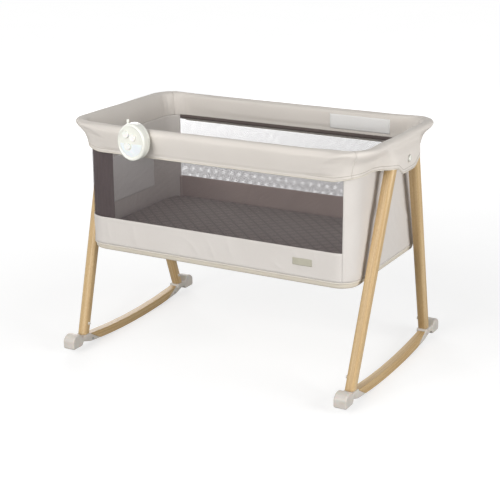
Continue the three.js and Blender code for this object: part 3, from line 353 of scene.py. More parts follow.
def woodMaterial(name, dark, middle, light):
    material, tree, shader = newMaterial(name, Coat_Weight=0.12, Coat_Roughness=0.35, IOR=1.5)
    place = addNode(tree, "ShaderNodeAttribute", attribute_name="grainPlace").outputs["Vector"]

    def drawnOut(width, length):
        scale = (1 / (width * mm), 1 / (width * mm), 1 / (length * mm))
        return addNode(tree, "ShaderNodeMapping", {"Vector": place, "Scale": scale}).outputs["Vector"]

    def noiseOn(vector, **inputs):
        return addNode(tree, "ShaderNodeTexNoise", {"Vector": vector, **inputs}).outputs["Fac"]

    streaks = drawnOut(beechGrain["ringWidth"], beechGrain["streakLength"])
    pores = noiseOn(drawnOut(beechGrain["poreWidth"], beechGrain["poreLength"]), Scale=1, Detail=2)
    body = mixColors(tree, 0.5, noiseOn(streaks, Scale=0.8, Detail=4, Distortion=0.6),
                     noiseOn(streaks, Scale=0.22, Detail=2))
    planks = shade(tree, body, dark, light, 0.36, 0.66, middle)
    flecks = shade(tree, pores, "#c9b494", "#ffffff", 0.32, 0.5)
    tree.links.new(mixColors(tree, 0.45, planks, flecks, "MULTIPLY"), shader.inputs["Base Color"])
    roughBetween(tree, shader, body, 0.42, 0.58)
    bumpOn(tree, shader, pores, 0.25, 0.15)
    return material


# Beech, planed, sanded and clear lacquered: even honey colour with fine darker flecks along the grain
beech = woodMaterial("lacquered beech", "#b59362", "#c9ab7c", "#dac198")
# Hardboard under the mattress: pressed fibre, brown and dull
hardboard = wovenMaterial("pressed hardboard", "#7f6f58", "#93836b", pitch=3, strength=0.15)
print("materials made")


# Places round the basket wall, in millimetres: s runs anticlockwise from the middle of the right end

basket = {
    "halfLength": 425,
    "halfDepth": 240,
    "corner": 58,
    "wall": 2,
    "bottom": 330,
    "wallTop": 622,
    "frontSill": 411,
    "backSill": 424,
    "windowCorner": 0.46,
    "windowWrap": 7,
    "seam": 0.3,
}
endStraight = basket["halfDepth"] - basket["corner"]
sideStraight = basket["halfLength"] - basket["corner"]
cornerArc = basket["corner"] * math.pi / 2
lap = 4 * (endStraight + sideStraight + cornerArc)


def aroundWall(s):
    s = (s + endStraight) % lap
    for run in range(5):
        half, straight = basket["halfLength"], endStraight
        if run % 2 == 1:
            half, straight = basket["halfDepth"], sideStraight
        turn = run * math.pi / 2
        out = Vector((math.cos(turn), math.sin(turn)))
        along = Vector((-math.sin(turn), math.cos(turn)))
        if s <= 2 * straight:
            return out * half + along * (s - straight), out
        s -= 2 * straight
        if s <= cornerArc:
            turn += s / basket["corner"]
            normal = Vector((math.cos(turn), math.sin(turn)))
            return out * (half - basket["corner"]) + along * straight + normal * basket["corner"], normal
        s -= cornerArc


def wallPoint(s, out, height):
    place, normal = aroundWall(s)
    return Vector((place.x + normal.x * out, place.y + normal.y * out, height)) * mm


rightBack = endStraight
backLeft = rightBack + cornerArc + 2 * sideStraight
leftFront = backLeft + cornerArc + 2 * endStraight
frontRight = leftFront + cornerArc + 2 * sideStraight
spans = {  # where each piece of the wall runs
    "frontWindow": (leftFront - basket["windowWrap"], frontRight + basket["windowCorner"] * basket["corner"]),
    "backWindow": (rightBack - basket["windowWrap"], backLeft + basket["windowCorner"] * basket["corner"]),
}
spans["rightEnd"] = (spans["frontWindow"][1] - lap + basket["seam"], spans["backWindow"][0] - basket["seam"])
spans["leftEnd"] = (spans["backWindow"][1] + basket["seam"], spans["frontWindow"][0] - basket["seam"])
halfArc = cornerArc / 2
padSpans = {
    "right": (frontRight + halfArc - lap, rightBack + halfArc),
    "back": (rightBack + halfArc, backLeft + halfArc),
    "left": (backLeft + halfArc, leftFront + halfArc),
    "front": (leftFront + halfArc, frontRight + halfArc),
}


def newGrid(columns, rows):
    clearSelection()
    bpy.ops.mesh.primitive_grid_add(x_subdivisions=columns, y_subdivisions=rows, size=1)
    return bpy.context.object


def sweepCloth(stations, sections):  # a grid laid on the wall: one section of (out, height) at each station
    columns, rows = len(stations) - 1, len(sections[0]) - 1
    obj = newGrid(columns, rows)
    lengths = []
    for section in sections:
        runs = [0.0]
        for (a, b), (c, d) in zip(section, section[1:]):
            runs.append(runs[-1] + math.hypot(c - a, d - b))
        lengths.append(runs)
    for vertex in obj.data.vertices:
        i, j = round((vertex.co.x + 0.5) * columns), round((vertex.co.y + 0.5) * rows)
        vertex.co = wallPoint(stations[i], *sections[i][j])
    for item in obj.data.uv_layers[0].data:
        i, j = round(item.uv.x * columns), round(item.uv.y * rows)
        item.uv = (stations[i] * mm, lengths[i][j] * mm)
    return obj


def stationsBetween(start, end, width):
    count = max(2, round((end - start) / width))
    return [lerp(start, end, i / count) for i in range(count + 1)]


# Padded rail cover

railCover = {
    "top": 692.5,
    "sideFlare": 27,
    "endFlare": 45,
    "sideEdge": 608,
    "endEdge": 620,
    "dip": 597,
    "dipReach": 0.34,
    "legEdge": 619,
    "legReach": 0.86,
    "hubHalf": 95,
    "hubOut": 54.1,
    "hubBlur": (-8, -4, 0, 4, 8),
    "hubHold": 125,
    "hubRows": 16,
    "heldRows": 2,
    "columnWidth": 6.6,
    "pressure": 4,
    "mostSwell": 3.5,
    "clothThickness": 2.4,
    "seamDepth": 0.9,
    "seamWidth": 5,
    "softness": 0.5,
    "softLength": 70,
    "softRows": 9,
    "lip": 0.4,
    "fill": 0.85,
    "cornerFold": 2.3,
    "foldPitch": 17,
    "foldRows": 11,
}
# How far the hub's lobe bulges, by share of its half width
coverShares = [(0.758, 1), (0.874, 0.973), (0.958, 0.909), (1.026, 0.807), (1.074, 0.636),
               (1.137, 0.455), (1.22, 0.27), (1.35, 0.11), (1.526, 0)]
# Sections of the pad from its edge up and over: shares of the flare and of the height
sidePadShares = [(0.13, 0), (0.23, 0.18), (0.63, 0.48), (0.94, 0.76), (1, 0.88), (0.84, 0.965),
                 (0.52, 1), (0.19, 0.97), (-0.04, 0.88)]
endPadShares = [(0.18, 0), (0.27, 0.19), (0.45, 0.48), (0.89, 0.75), (1, 0.88), (0.92, 0.965),
                (0.68, 1), (0.42, 0.965), (0.2, 0.87)]
hubRiseShares = (0, 0.45, 0.58, 0.72)
hubReachShares = (1, 1, 0.94, 0.8)
rowsPerStep = (4, 5, 5, 3, 3, 3, 3, 3, 4, 5)  # finer rows where the pad turns
innerWallShare = 0.46
undersideRows = (1, 2, 5)
straightEnd = 0.999  # the wall's normal points straight along the length above this


def hubShareAt(y):
    share = abs(y) / railCover["hubHalf"]
    if share <= coverShares[0][0]:
        return 1
    for (a, low), (b, high) in zip(coverShares, coverShares[1:]):
        if share <= b:
            return lerp(low, high, (share - a) / (b - a))
    return 0


def hubBulge(place, normal):
    if abs(normal.x) < straightEnd:
        return 0
    blur = railCover["hubBlur"]
    return sum(hubShareAt(place.y + shift) for shift in blur) / len(blur)


def coverEdge(place, normal):
    level = lerp(railCover["sideEdge"], railCover["endEdge"], abs(normal.x))
    if abs(normal.x) < straightEnd:
        return level
    share, past = abs(place.y) / railCover["hubHalf"], railCover["legReach"]
    rise = smooth((share - railCover["dipReach"]) / (past - railCover["dipReach"]))
    edge = lerp(railCover["dip"], railCover["legEdge"], rise)
    return edge if share < past else lerp(edge, level, min(1, share - past))


def coverPoints(s):
    place, normal = aroundWall(s)
    end, bulge, edge = abs(normal.x), hubBulge(place, normal), coverEdge(place, normal)
    points = []
    for i, (side, across) in enumerate(zip(sidePadShares, endPadShares)):
        out = lerp(side[0] * railCover["sideFlare"], across[0] * railCover["endFlare"], end)
        height = lerp(edge, railCover["top"], lerp(side[1], across[1], end))
        if i < len(hubRiseShares):
            rise = lerp(railCover["dip"], railCover["top"], hubRiseShares[i]) if i else edge
            out = lerp(out, railCover["hubOut"] * hubReachShares[i], bulge)
            height = lerp(height, rise, bulge)
        points.append((out, height))
    seat = basket["wallTop"] + basket["seam"]
    middle = lerp(seat, railCover["top"], innerWallShare)
    return points + [(-basket["wall"], middle), (-basket["wall"], seat)]


def curveThrough(points, counts):  # a smooth curve through the points, with so many steps between each two
    result = []
    for i, count in enumerate(counts):
        a, b, c, d = [Vector(points[min(len(points) - 1, max(0, i + k))]) for k in (-1, 0, 1, 2)]
        for step in range(count):
            t = step / count
            result.append(tuple(0.5 * (2 * b + (c - a) * t + (2 * a - 5 * b + 4 * c - d) * t ** 2
                                       + (3 * b - a - 3 * c + d) * t ** 3)))
    return result + [tuple(points[-1])]


def coverSection(s, span):
    points = curveThrough(coverPoints(s), rowsPerStep)
    fromSeam = min(s - span[0], span[1] - s)
    pinch = railCover["seamDepth"] * max(0, 1 - fromSeam / railCover["seamWidth"]) ** 2
    turned = 0.02 < abs(aroundWall(s)[1].x) < 0.98
    inCorner = smooth(1 - abs(fromSeam) / cornerArc) if turned or fromSeam < cornerArc else 0
    ripple = math.sin(2 * math.pi * fromSeam / railCover["foldPitch"])
    shaped = []
    for j, (out, height) in enumerate(points):
        (a, b), (c, d) = points[max(0, j - 1)], points[min(len(points) - 1, j + 1)]
        size = math.hypot(c - a, d - b) or 1
        away = ((d - b) / size, (a - c) / size)
        fromEnd = len(points) - j
        fold = railCover["cornerFold"] * smooth((railCover["foldRows"] - fromEnd) / 4) * inCorner * ripple
        wander = drift(s / railCover["softLength"], j / railCover["softRows"], 3.1)
        soft = railCover["softness"] * wander * smooth(j / 4) * smooth(fromEnd / 4)
        swell = -pinch * smooth(j / 3) - fold + soft
        shaped.append((out + away[0] * swell, height + away[1] * swell))
    return shaped


def closedSection(s, span):
    outer = coverSection(s, span)
    lip, edge = (railCover["lip"], basket["wallTop"] + basket["seam"]), (railCover["lip"], outer[0][1])
    stops = [outer[-1], lip, edge, outer[0]]
    inner = []
    for (a, b), (c, d), count in zip(stops, stops[1:], undersideRows):
        inner += [(lerp(a, c, k / count), lerp(b, d, k / count)) for k in range(1, count + 1)]
    return outer + inner


outerRows = sum(rowsPerStep)
pads = {}
for side, span in padSpans.items():
    stations = stationsBetween(*span, railCover["columnWidth"])
    columns = len(stations) - 1
    pad = sweepCloth(stations, [closedSection(s, span) for s in stations])
    pads[side] = pad
    pad.data.materials.append(canvas)
    pad.data.materials.append(canvas)
    for index, face in enumerate(pad.data.polygons):  # the underside comes off once the pad is filled
        face.material_index = 1 if index // columns >= outerRows else 0
    held = []
    for vertex in pad.data.vertices:
        i, j = vertex.index % (columns + 1), vertex.index // (columns + 1)
        place, normal = aroundWall(stations[i])
        onEnd = abs(normal.x) > straightEnd
        onHub = onEnd and abs(place.y) < railCover["hubHold"] and j < railCover["hubRows"]
        atHem = j <= railCover["heldRows"] or j >= outerRows - railCover["heldRows"]
        if atHem or i <= 1 or i >= columns - 1 or onHub:
            held.append(vertex.index)
    pad.vertex_groups.new(name="pinned").add(held, 1, "REPLACE")
    edit(pad, "EDGE")
    bpy.ops.mesh.remove_doubles(threshold=weldGap)
    bpy.ops.mesh.select_all(action="DESELECT")
    bpy.ops.mesh.select_non_manifold()
    fillPicked()
print("rail cover cut")


# Mattress: a crowned foam pad in a quilted cover

mattress = {
    "halfLength": 417,
    "halfDepth": 229,
    "corner": 50,
    "bottom": 330.9,
    "edge": 32,
    "crown": 5.2,
    "shoulder": 6,
    "shoulderReach": (60, 33),  # as parts of the length and of the depth
    "flatUnder": 5,
    "columns": 160,
    "rows": 88,
    "stitchEvery": 8,
    "stitchShade": 0.8,
    "drawIn": 5,
    "sideSteps": ((0.72, 0.2), (0.5, 1), (0.3, 0.5), (0.12, 0), (0, 1)),  # (share of the edge, of the draw)
    "pressure": 5,
    "mostSwell": 4.2,
    "fill": 0.8,
}


def mattressPlace(u, v):
    x, y = mattress["halfLength"] * (2 * u - 1), mattress["halfDepth"] * (2 * v - 1)
    cx, cy = mattress["halfLength"] - mattress["corner"], mattress["halfDepth"] - mattress["corner"]
    ox, oy = max(0, abs(x) - cx), max(0, abs(y) - cy)
    if ox > 0 and oy > 0:
        pull = max(ox, oy) / math.hypot(ox, oy)
        x, y = math.copysign(cx + ox * pull, x), math.copysign(cy + oy * pull, y)
    along, across = 1 - (2 * u - 1) ** 4, 1 - (2 * v - 1) ** 4
    inX, inY = [smooth(min(w, 1 - w) * reach) for w, reach in zip((u, v), mattress["shoulderReach"])]
    drop = mattress["shoulder"] * min(1, 2 - inX - inY)
    return Vector((x, y, mattress["bottom"] + mattress["edge"] + mattress["crown"] * along * across - drop))


bed = newGrid(mattress["columns"], mattress["rows"])
onStitch = []
for vertex in bed.data.vertices:
    u, v = vertex.co.x + 0.5, vertex.co.y + 0.5
    i, j = round(u * mattress["columns"]), round(v * mattress["rows"])
    if (i + j) % mattress["stitchEvery"] == 0 or (i - j) % mattress["stitchEvery"] == 0:
        onStitch.append(vertex.index)
    vertex.co = mattressPlace(u, v) * mm
scaleUvs(bed, 2 * mattress["halfLength"], 2 * mattress["halfDepth"])
stitched = bed.vertex_groups.new(name="pinned")
stitched.add(onStitch, 1, "REPLACE")
# how strongly each stitched point takes the painted shade of the quilting lines
lines = bed.data.attributes.new("stitchLineShade", "FLOAT", "POINT")
for index in onStitch:
    lines.data[index].value = mattress["stitchShade"]
pickOpenEdges(bed)
pulled = 0
for share, draw in mattress["sideSteps"]:
    bpy.ops.mesh.extrude_region_move()
    leaveEdit()
    last, pulled = pulled, draw * mattress["drawIn"]
    growX, growY = [(1 - pulled / mattress[half]) / (1 - last / mattress[half])
                    for half in ("halfLength", "halfDepth")]
    height = (mattress["bottom"] + mattress["edge"] * share) * mm
    for vertex in bed.data.vertices:
        if vertex.select:
            vertex.co = (vertex.co.x * growX, vertex.co.y * growY, height)
    bpy.ops.object.mode_set(mode="EDIT")
fillPicked()
lowest = (mattress["bottom"] + mattress["flatUnder"]) * mm
stitched.add([vertex.index for vertex in bed.data.vertices if vertex.co.z < lowest], 1, "REPLACE")
print("mattress cut")


# All the padding is filled in one run of the cloth solver

def fillPadding(jobs, frames=20):
    rests = {}
    for obj, facts in jobs:
        rests[obj.name] = [vertex.co.copy() for vertex in obj.data.vertices]
        cloth = obj.modifiers.new("Cloth", "CLOTH")
        cloth.settings.quality = 4
        cloth.settings.use_pressure = True
        cloth.settings.uniform_pressure_force = facts["pressure"]
        cloth.settings.vertex_group_mass = "pinned"
        cloth.settings.effector_weights.gravity = 0
        cloth.collision_settings.use_collision = False
        cloth.point_cache.frame_start = 1
        cloth.point_cache.frame_end = frames
    for step in range(1, frames + 1):
        bpy.context.scene.frame_set(step)
    for obj, facts in jobs:
        selectOnly(obj)
        bpy.ops.object.modifier_apply(modifier="Cloth")
        cap = facts["mostSwell"] * mm
        for vertex, rest in zip(obj.data.vertices, rests[obj.name]):
            shift = vertex.co - rest
            if shift.length > cap:
                vertex.co = rest + shift * (cap / shift.length)
    bpy.context.scene.frame_set(1)


buttonHole = {"height": 629, "radius": 8.7, "rim": 3.2, "spread": 0.3, "outside": 450}


def openForButton(pad):
    level, radius = buttonHole["height"] * mm, buttonHole["radius"] * mm

    def fromMiddle(vertex):
        return Vector((vertex.co.y, vertex.co.z - level))

    def isOutside(vertex):
        return abs(vertex.co.x) > buttonHole["outside"] * mm

    deleteWhere(pad, "VERT", lambda vertex: isOutside(vertex) and fromMiddle(vertex).length < radius)
    for vertex in pad.data.vertices:  # the ragged edge is drawn to a circle
        away = fromMiddle(vertex)
        if isOutside(vertex) and away.length < radius + buttonHole["rim"] * mm:
            away = away.normalized() * lerp(radius, away.length, buttonHole["spread"])
            vertex.co.y, vertex.co.z = away.x, away.y + level


fillPadding([(pad, railCover) for pad in pads.values()] + [(bed, mattress)])
print("padding filled")

for side, pad in pads.items():
    deleteWhere(pad, "FACE", lambda face: face.material_index == 1 or len(face.vertices) > 4)
    applyModifier(pad, "SUBSURF", levels=1, render_levels=1)
    if side in ("right", "left"):
        openForButton(pad)
    thicken(pad, railCover["clothThickness"])
    finishPiece(pad, f"rail_cover_{side}", "cradle", canvas, "cloth", [f"rail_pad_{side}"])
# The flat bottom comes off, and is closed again once the rest is smooth
deleteWhere(bed, "FACE", lambda face: len(face.vertices) > 4, "ONLY_FACE")
applyModifier(bed, "SUBSURF", levels=1, render_levels=1)
pickOpenEdges(bed)
fillPicked()
finishPiece(bed, "mattress", "mattress", quiltedJersey, "quilted_cover", ["mattress_pad"])


# Corded edges

def sweepCord(centreAt, radius, steps, sides=10):
    clearSelection()
    bpy.ops.mesh.primitive_torus_add(major_segments=steps, minor_segments=sides, major_radius=1,
                                     minor_radius=0.25)
    obj = bpy.context.object
    for vertex in obj.data.vertices:
        turn = math.atan2(vertex.co.y, vertex.co.x)
        around = math.atan2(vertex.co.z, math.hypot(vertex.co.x, vertex.co.y) - 1)
        s = turn / (2 * math.pi) * lap
        out, height = centreAt(s)
        vertex.co = wallPoint(s, out + radius * math.cos(around), height + radius * math.sin(around))
    scaleUvs(obj, lap, 2 * math.pi * radius)
    return obj


railCord = {"radius": 1.8, "drop": 2.1, "inset": 0.6}
railBand = {"radius": 0.75, "height": 7.5, "sink": 0.15}
baseCord = {"radius": 2.2, "height": 327.5, "sink": 1.2}


def railCordCentre(s):
    out, height = coverPoints(s)[0]
    return out - railCord["inset"], height - railCord["drop"]


def railBandCentre(s):  # the stitched line that makes a narrow band above the cord
    points = curveThrough(coverPoints(s), rowsPerStep)
    risen = 0
    for (a, b), (c, d) in zip(points, points[1:]):
        step = math.hypot(c - a, d - b)
        if risen + step >= railBand["height"]:
            share = (railBand["height"] - risen) / step
            return lerp(a, c, share) - railBand["sink"], lerp(b, d, share)
        risen += step


cord = sweepCord(railCordCentre, railCord["radius"], 520)
finishPiece(cord, "rail_cord", "cradle", biasCanvas, "cloth", ["rail_piping"])
# the topstitch cord, darker than the canvas as painted shade of its groove
cord = sweepCord(railBandCentre, railBand["radius"], 520, 6)
finishPiece(cord, "rail_band_cord", "cradle", grooveShadeThread, "cloth")
cord = sweepCord(lambda s: (-baseCord["sink"], baseCord["height"]), baseCord["radius"], 480)
finishPiece(cord, "base_cord", "cradle", biasCanvas, "cloth", ["base_piping"])
print("cords swept")


# Canvas panels of the wall

panel = {
    "thickness": 1.6,
    "columnWidth": 5,
    "rowHeight": 6,
    "slack": 1.1,
    "crease": 3.8,
    "tuck": 5,
    "tuckDepth": 1.3,
    "tuckStep": 0.5,
    "creasePitch": 64,
    "pucker": 0.35,
    "puckerPitch": 11,
    "puckerReach": 16,
    "flatEdge": 20,
    "flatSeam": 30,
}
clothPanels = {
    "front_lower": {"span": "frontWindow", "top": basket["frontSill"]},
    "back_lower": {"span": "backWindow", "top": basket["backSill"]},
    "right_end": {"span": "rightEnd", "top": basket["wallTop"]},
    "left_end": {"span": "leftEnd", "top": basket["wallTop"]},
}


def clothSlack(s, height, bottom, top, fromSeam):
    if fromSeam < 0:  # tucked under the next panel
        return -panel["tuckDepth"]
    fromEdge = min(height - bottom, top - height)
    edge = max(0, 1 - fromEdge / panel["puckerReach"])
    ripple = math.sin(2 * math.pi * s / panel["puckerPitch"] + 3 * drift(s / 40, 0, 2))
    lean = (s + 0.7 * (height - bottom)) / panel["creasePitch"] + 0.8 * drift(s / 150, height / 120, 4)
    crease = max(0, math.sin(2 * math.pi * lean)) ** 3 * max(0, drift(s / 120, height / 100, 9) + 0.15)
    wave = drift(s / 85, height / 60, 7.3) + 0.5 * drift(s / 33, height / 90, 1.7)
    free = panel["slack"] * wave + panel["crease"] * crease
    pucker = panel["pucker"] * edge * (1 - edge) * 4 * ripple
    return (free * smooth(fromEdge / panel["flatEdge"]) + pucker) * smooth(fromSeam / panel["flatSeam"])


panelCloths = {}
for key, facts in clothPanels.items():
    start, end = spans[facts["span"]]
    bottom, top = basket["bottom"], facts["top"]
    stations = stationsBetween(start, end, panel["columnWidth"])
    if top < basket["wallTop"]:
        far, near = panel["tuck"], panel["tuckStep"]
        stations = [start - far, start - near] + stations + [end + near, end + far]
    heights = stationsBetween(bottom, top, panel["rowHeight"])
    sections = [[(clothSlack(s, height, bottom, top, min(s - start, end - s)), height) for height in heights]
                for s in stations]
    obj = sweepCloth(stations, sections)
    thicken(obj, panel["thickness"])
    finishPiece(obj, f"{key}_cloth", "cradle", panelCanvas, "cloth", [f"{key}_panel"])
    panelCloths[key] = obj
    if top < basket["wallTop"]:
        # the inward faces take the darker cloth: painted shade of the basket's inside
        obj.data.materials.append(innerShadeCloth)
        for face in obj.data.polygons:
            if face.normal.y * face.center.y < 0 and abs(face.normal.y) > 0.5:
                face.material_index = 1
print("panels hung")


# Windows of knitted net, modelled as six-sided meshes

net = {
    "cell": 3.9,  # the real holes are 1.5 mm across, drawn coarser so that they show
    "thread": 0.85,
    "out": -1,
    "tapeOut": -1.2,
    "tapeHeight": 11,
    "tapeThickness": 0.7,
    "tapeStep": 8,
    "leastThread": 0.31,
}
windows = {
    "front": {"span": "frontWindow", "sill": basket["frontSill"]},
    "back": {"span": "backWindow", "sill": basket["backSill"]},
}


def knittedNet(start, end, bottom, top):
    columns = 2 * round((end - start) / net["cell"])
    rows = round((top - bottom) / (net["cell"] * math.sqrt(3) / 2))
    obj = newGrid(columns, rows)
    width, height = (end - start) / columns, (top - bottom) / rows
    zigzag = net["cell"] / math.sqrt(3) / 4
    where = {}
    for vertex in obj.data.vertices:
        i, j = round((vertex.co.x + 0.5) * columns), round((vertex.co.y + 0.5) * rows)
        where[vertex.index] = (i, j)
        shift = 0 if j in (0, rows) else zigzag if (i + j) % 2 == 0 else -zigzag
        vertex.co = Vector((start + i * width, bottom + j * height + shift, 0)) * mm

    def isCut(edge):
        (i, j), (k, m) = where[edge.vertices[0]], where[edge.vertices[1]]
        return i == k and 0 < i < columns and (i + min(j, m)) % 2 == 1

    edit(obj, "EDGE", isCut)
    bpy.ops.mesh.dissolve_edges(use_verts=False)
    bpy.context.tool_settings.mesh_select_mode = (False, False, True)
    bpy.ops.mesh.select_all(action="SELECT")
    bpy.ops.mesh.inset(thickness=net["thread"] / 2 * mm, use_individual=True)
    bpy.ops.mesh.delete(type="FACE")
    leaveEdit()
    for loop, item in zip(obj.data.loops, obj.data.uv_layers[0].data):
        item.uv = obj.data.vertices[loop.vertex_index].co.xy
    for vertex in obj.data.vertices:
        vertex.co = wallPoint(vertex.co.x / mm, net["out"], vertex.co.y / mm)
    return obj


for side, facts in windows.items():
    start, end = spans[facts["span"]]
    bottom, top = facts["sill"] + basket["seam"], basket["wallTop"]
    obj = knittedNet(start, end, bottom, top)
    finishPiece(obj, f"{side}_net", "cradle", netThread, "mesh", [f"{side}_mesh_window"])
    width, height = (end - start) * mm, (top - bottom) * mm
    stations = stationsBetween(start, end, net["tapeStep"])
    hem = [(net["tapeOut"], top - net["tapeHeight"]), (net["tapeOut"], top)]
    tape = sweepCloth(stations, [hem] * len(stations))
    thicken(tape, net["tapeThickness"])
    finishPiece(tape, f"{side}_net_tape", "cradle", taupeTape, "mesh")


# A gathered dark taupe strip in the corner that each window goes round: painted shade of the dark inner
# corner behind the net

gather = {
    "reach": 138,
    "out": -3.4,
    "fold": 2.2,
    "foldPitch": 13,
    "columnWidth": 2.5,
    "rowHeight": 10,
    "under": 4,
    "thickness": 0.8,
}


def gatheredOut(fromStart, s, height):
    turn = 2 * math.pi * fromStart / gather["foldPitch"] + 1.4 * drift(s / 40, height / 70, 6)
    return gather["out"] - gather["fold"] * (0.5 + 0.5 * math.sin(turn))


for side, facts in windows.items():
    start = spans[facts["span"]][0]
    stations = stationsBetween(start, start + gather["reach"], gather["columnWidth"])
    heights = stationsBetween(facts["sill"] - gather["under"], basket["wallTop"] - 0.5, gather["rowHeight"])
    strip = sweepCloth(stations, [[(gatheredOut(s - start, s, height), height) for height in heights]
                                  for s in stations])
    thicken(strip, gather["thickness"])
    finishPiece(strip, f"{side}_corner_shade_strip", "cradle", taupeTape, "mesh")
print("nets knitted")


# Tray of coated cloth under the base

tray = {
    "section": [(-3, 325), (-3.2, 321), (-3.4, 317.5), (-4.6, 313.6), (-7, 311.6), (-12, 311), (-60, 311)],
    "bottom": 311,
    "innerRing": 50,
    "columnWidth": 9,
    "thickness": 1.8,
}
stations = stationsBetween(0, lap, tray["columnWidth"])
pan = sweepCloth(stations, [tray["section"]] * len(stations))
edit(pan)
bpy.ops.mesh.remove_doubles(threshold=weldGap)
leaveEdit()
innerX, innerY = [(basket[half] - tray["innerRing"]) * mm for half in ("halfLength", "halfDepth")]
floorLevel = (tray["bottom"] + 0.5) * mm


def onInnerRing(edge):
    ends = [pan.data.vertices[k].co for k in edge.vertices]
    return all(abs(co.x) < innerX and abs(co.y) < innerY and co.z < floorLevel for co in ends)


edit(pan, "EDGE", onInnerRing)
fillPicked()
if sum(face.normal.z * face.area for face in pan.data.polygons) > 0:
    pan.data.flip_normals()
thicken(pan, tray["thickness"])
finishPiece(pan, "base_tray_cloth", "cradle", coatedCloth, "cloth", ["base_tray"], angle=50)
print("tray folded")


# Beech legs and rockers

def setGrain(obj, placeOf, seed):  # x and y across the grain, z along it
    values = obj.data.attributes.new("grainPlace", "FLOAT_VECTOR", "POINT")
    for vertex, item in zip(obj.data.vertices, values.data):
        item.vector = placeOf(vertex.co) + Vector(beechGrain["shift"]) * mm * seed


leg = {
    "foot": (438, 263, 44.3),
    "chamfer": 0.8,
    "chamferRise": 0.9,
    "heights": (120, 200, 280, 360, 440, 520, 580),
    "top": (459, 86, 600),
    "crossing": 44.017,
    "footHalf": 14.5,
    "topHalf": 15.8,
    "taperFrom": 44,
    "taperHeight": 591,
    "squareness": 3,
    "shoulder": 613.5,
    "spigot": 619,
    "spigotHalf": 12.5,
    "end": 636.5,
    "sides": 40,
}


def legCentre(height):
    share = (height - leg["crossing"]) / (leg["top"][2] - leg["crossing"])
    return lerp(leg["foot"][0], leg["top"][0], share), lerp(leg["foot"][1], leg["top"][1], share)


def legRing(height, half):
    x, y = legCentre(height)
    ring = []
    for i in range(leg["sides"]):
        turn = 2 * math.pi * (i + 0.5) / leg["sides"]
        c, s = math.cos(turn), math.sin(turn)
        size = half / (abs(c) ** leg["squareness"] + abs(s) ** leg["squareness"]) ** (1 / leg["squareness"])
        ring.append(Vector((x + size * c, y + size * s, height)) * mm)
    return ring


def placeSelected(obj, ring):
    leaveEdit()
    chosen = [vertex for vertex in obj.data.vertices if vertex.select]
    centre = sum((vertex.co for vertex in chosen), Vector()) / len(chosen)
    chosen.sort(key=lambda vertex: math.atan2(vertex.co.y - centre.y, vertex.co.x - centre.x) % (2 * math.pi))
    for vertex, place in zip(chosen, ring):
        vertex.co = place
    bpy.ops.object.mode_set(mode="EDIT")


def legHalf(height):
    return lerp(leg["footHalf"], leg["topHalf"], (height - leg["taperFrom"]) / leg["taperHeight"])


legMaster = newDisc(leg["sides"], leg["footHalf"])
edit(legMaster)
footHeight = leg["foot"][2]
levels = [(footHeight, legHalf(footHeight) - leg["chamfer"])]
heights = (footHeight + leg["chamferRise"], *leg["heights"], leg["shoulder"])
levels += [(height, legHalf(height)) for height in heights]
levels += [(leg["spigot"], leg["spigotHalf"]), (leg["end"], leg["spigotHalf"])]
placeSelected(legMaster, legRing(*levels[0]))
for height, half in levels[1:]:
    bpy.ops.mesh.extrude_region_move()
    placeSelected(legMaster, legRing(height, half))
leaveEdit()
facesOut(legMaster)
corners = {
    "back_right": Matrix.Identity(4),
    "front_right": Matrix.Diagonal((1, -1, 1, 1)),
    "back_left": Matrix.Diagonal((-1, 1, 1, 1)),
    "front_left": Matrix.Diagonal((-1, -1, 1, 1)),
}


def grainOfLeg(co):
    x, y = legCentre(co.z / mm)
    return Vector((abs(co.x) - x * mm, abs(co.y) - y * mm, co.z))


for seed, (corner, matrix) in enumerate(corners.items()):
    obj = ownCopy(legMaster, matrix)
    setGrain(obj, grainOfLeg, seed + 1)
    facesOut(obj)
    finishPiece(obj, f"leg_{corner}_wood", "cradle", beech, "light_wood", [f"leg_{corner}"], angle=40)
bpy.data.objects.remove(legMaster)

rocker = {
    "x": 440,
    "radius": 2200,
    "thickness": 25,
    "width": 23,
    "edge": 2.5,
    "overEnd": 243,
    "underEnd": 190,
    "uncutEnd": 262,
    "steps": 56,
}


def underside(y):
    return rocker["radius"] - math.sqrt(rocker["radius"] ** 2 - y ** 2)


def upperSide(y):
    return rocker["radius"] - math.sqrt((rocker["radius"] - rocker["thickness"]) ** 2 - y ** 2)


def buildRocker(side):
    clearSelection()
    reach = math.asin(rocker["uncutEnd"] / rocker["radius"])
    bpy.ops.mesh.primitive_plane_add(size=1)
    obj = bpy.context.object
    for vertex in obj.data.vertices:
        deep = rocker["radius"] - rocker["thickness"] * (vertex.co.y + 0.5)
        vertex.co = Vector((
            side * rocker["x"] + vertex.co.x * rocker["width"],
            -deep * math.sin(reach),
            rocker["radius"] - deep * math.cos(reach),
        )) * mm
    edit(obj)
    bpy.ops.mesh.spin(steps=rocker["steps"], angle=2 * reach, center=(0, 0, rocker["radius"] * mm),
                      axis=(-1, 0, 0))
    leaveEdit()
    low, high = underside(rocker["underEnd"]), upperSide(rocker["overEnd"])
    slant = Vector((0, rocker["overEnd"] - rocker["underEnd"], high - low)).normalized()
    for end in (1, -1):
        edit(obj)
        bpy.ops.mesh.bisect(plane_co=Vector((0, end * rocker["overEnd"], high)) * mm,
                            plane_no=(0, end * slant.z, -slant.y), use_fill=True, clear_outer=True)
        leaveEdit()
    facesOut(obj)
    roundEdges(obj, rocker["edge"], 4, 50)
    return obj


ends = {"right": 1, "left": -1}
for seed, (name, side) in enumerate(ends.items()):
    obj = buildRocker(side)

    def grainOfRocker(co):
        radius = rocker["radius"] * mm
        return Vector((co.x - side * rocker["x"] * mm, radius - math.hypot(co.y, radius - co.z),
                       math.atan2(co.y, radius - co.z) * radius))

    setGrain(obj, grainOfRocker, seed + 6)
    finishPiece(obj, f"rocker_{name}_wood", "cradle", beech, "light_wood", [f"rocker_{name}"], angle=35)
print("wood shaped")


# Moulded feet

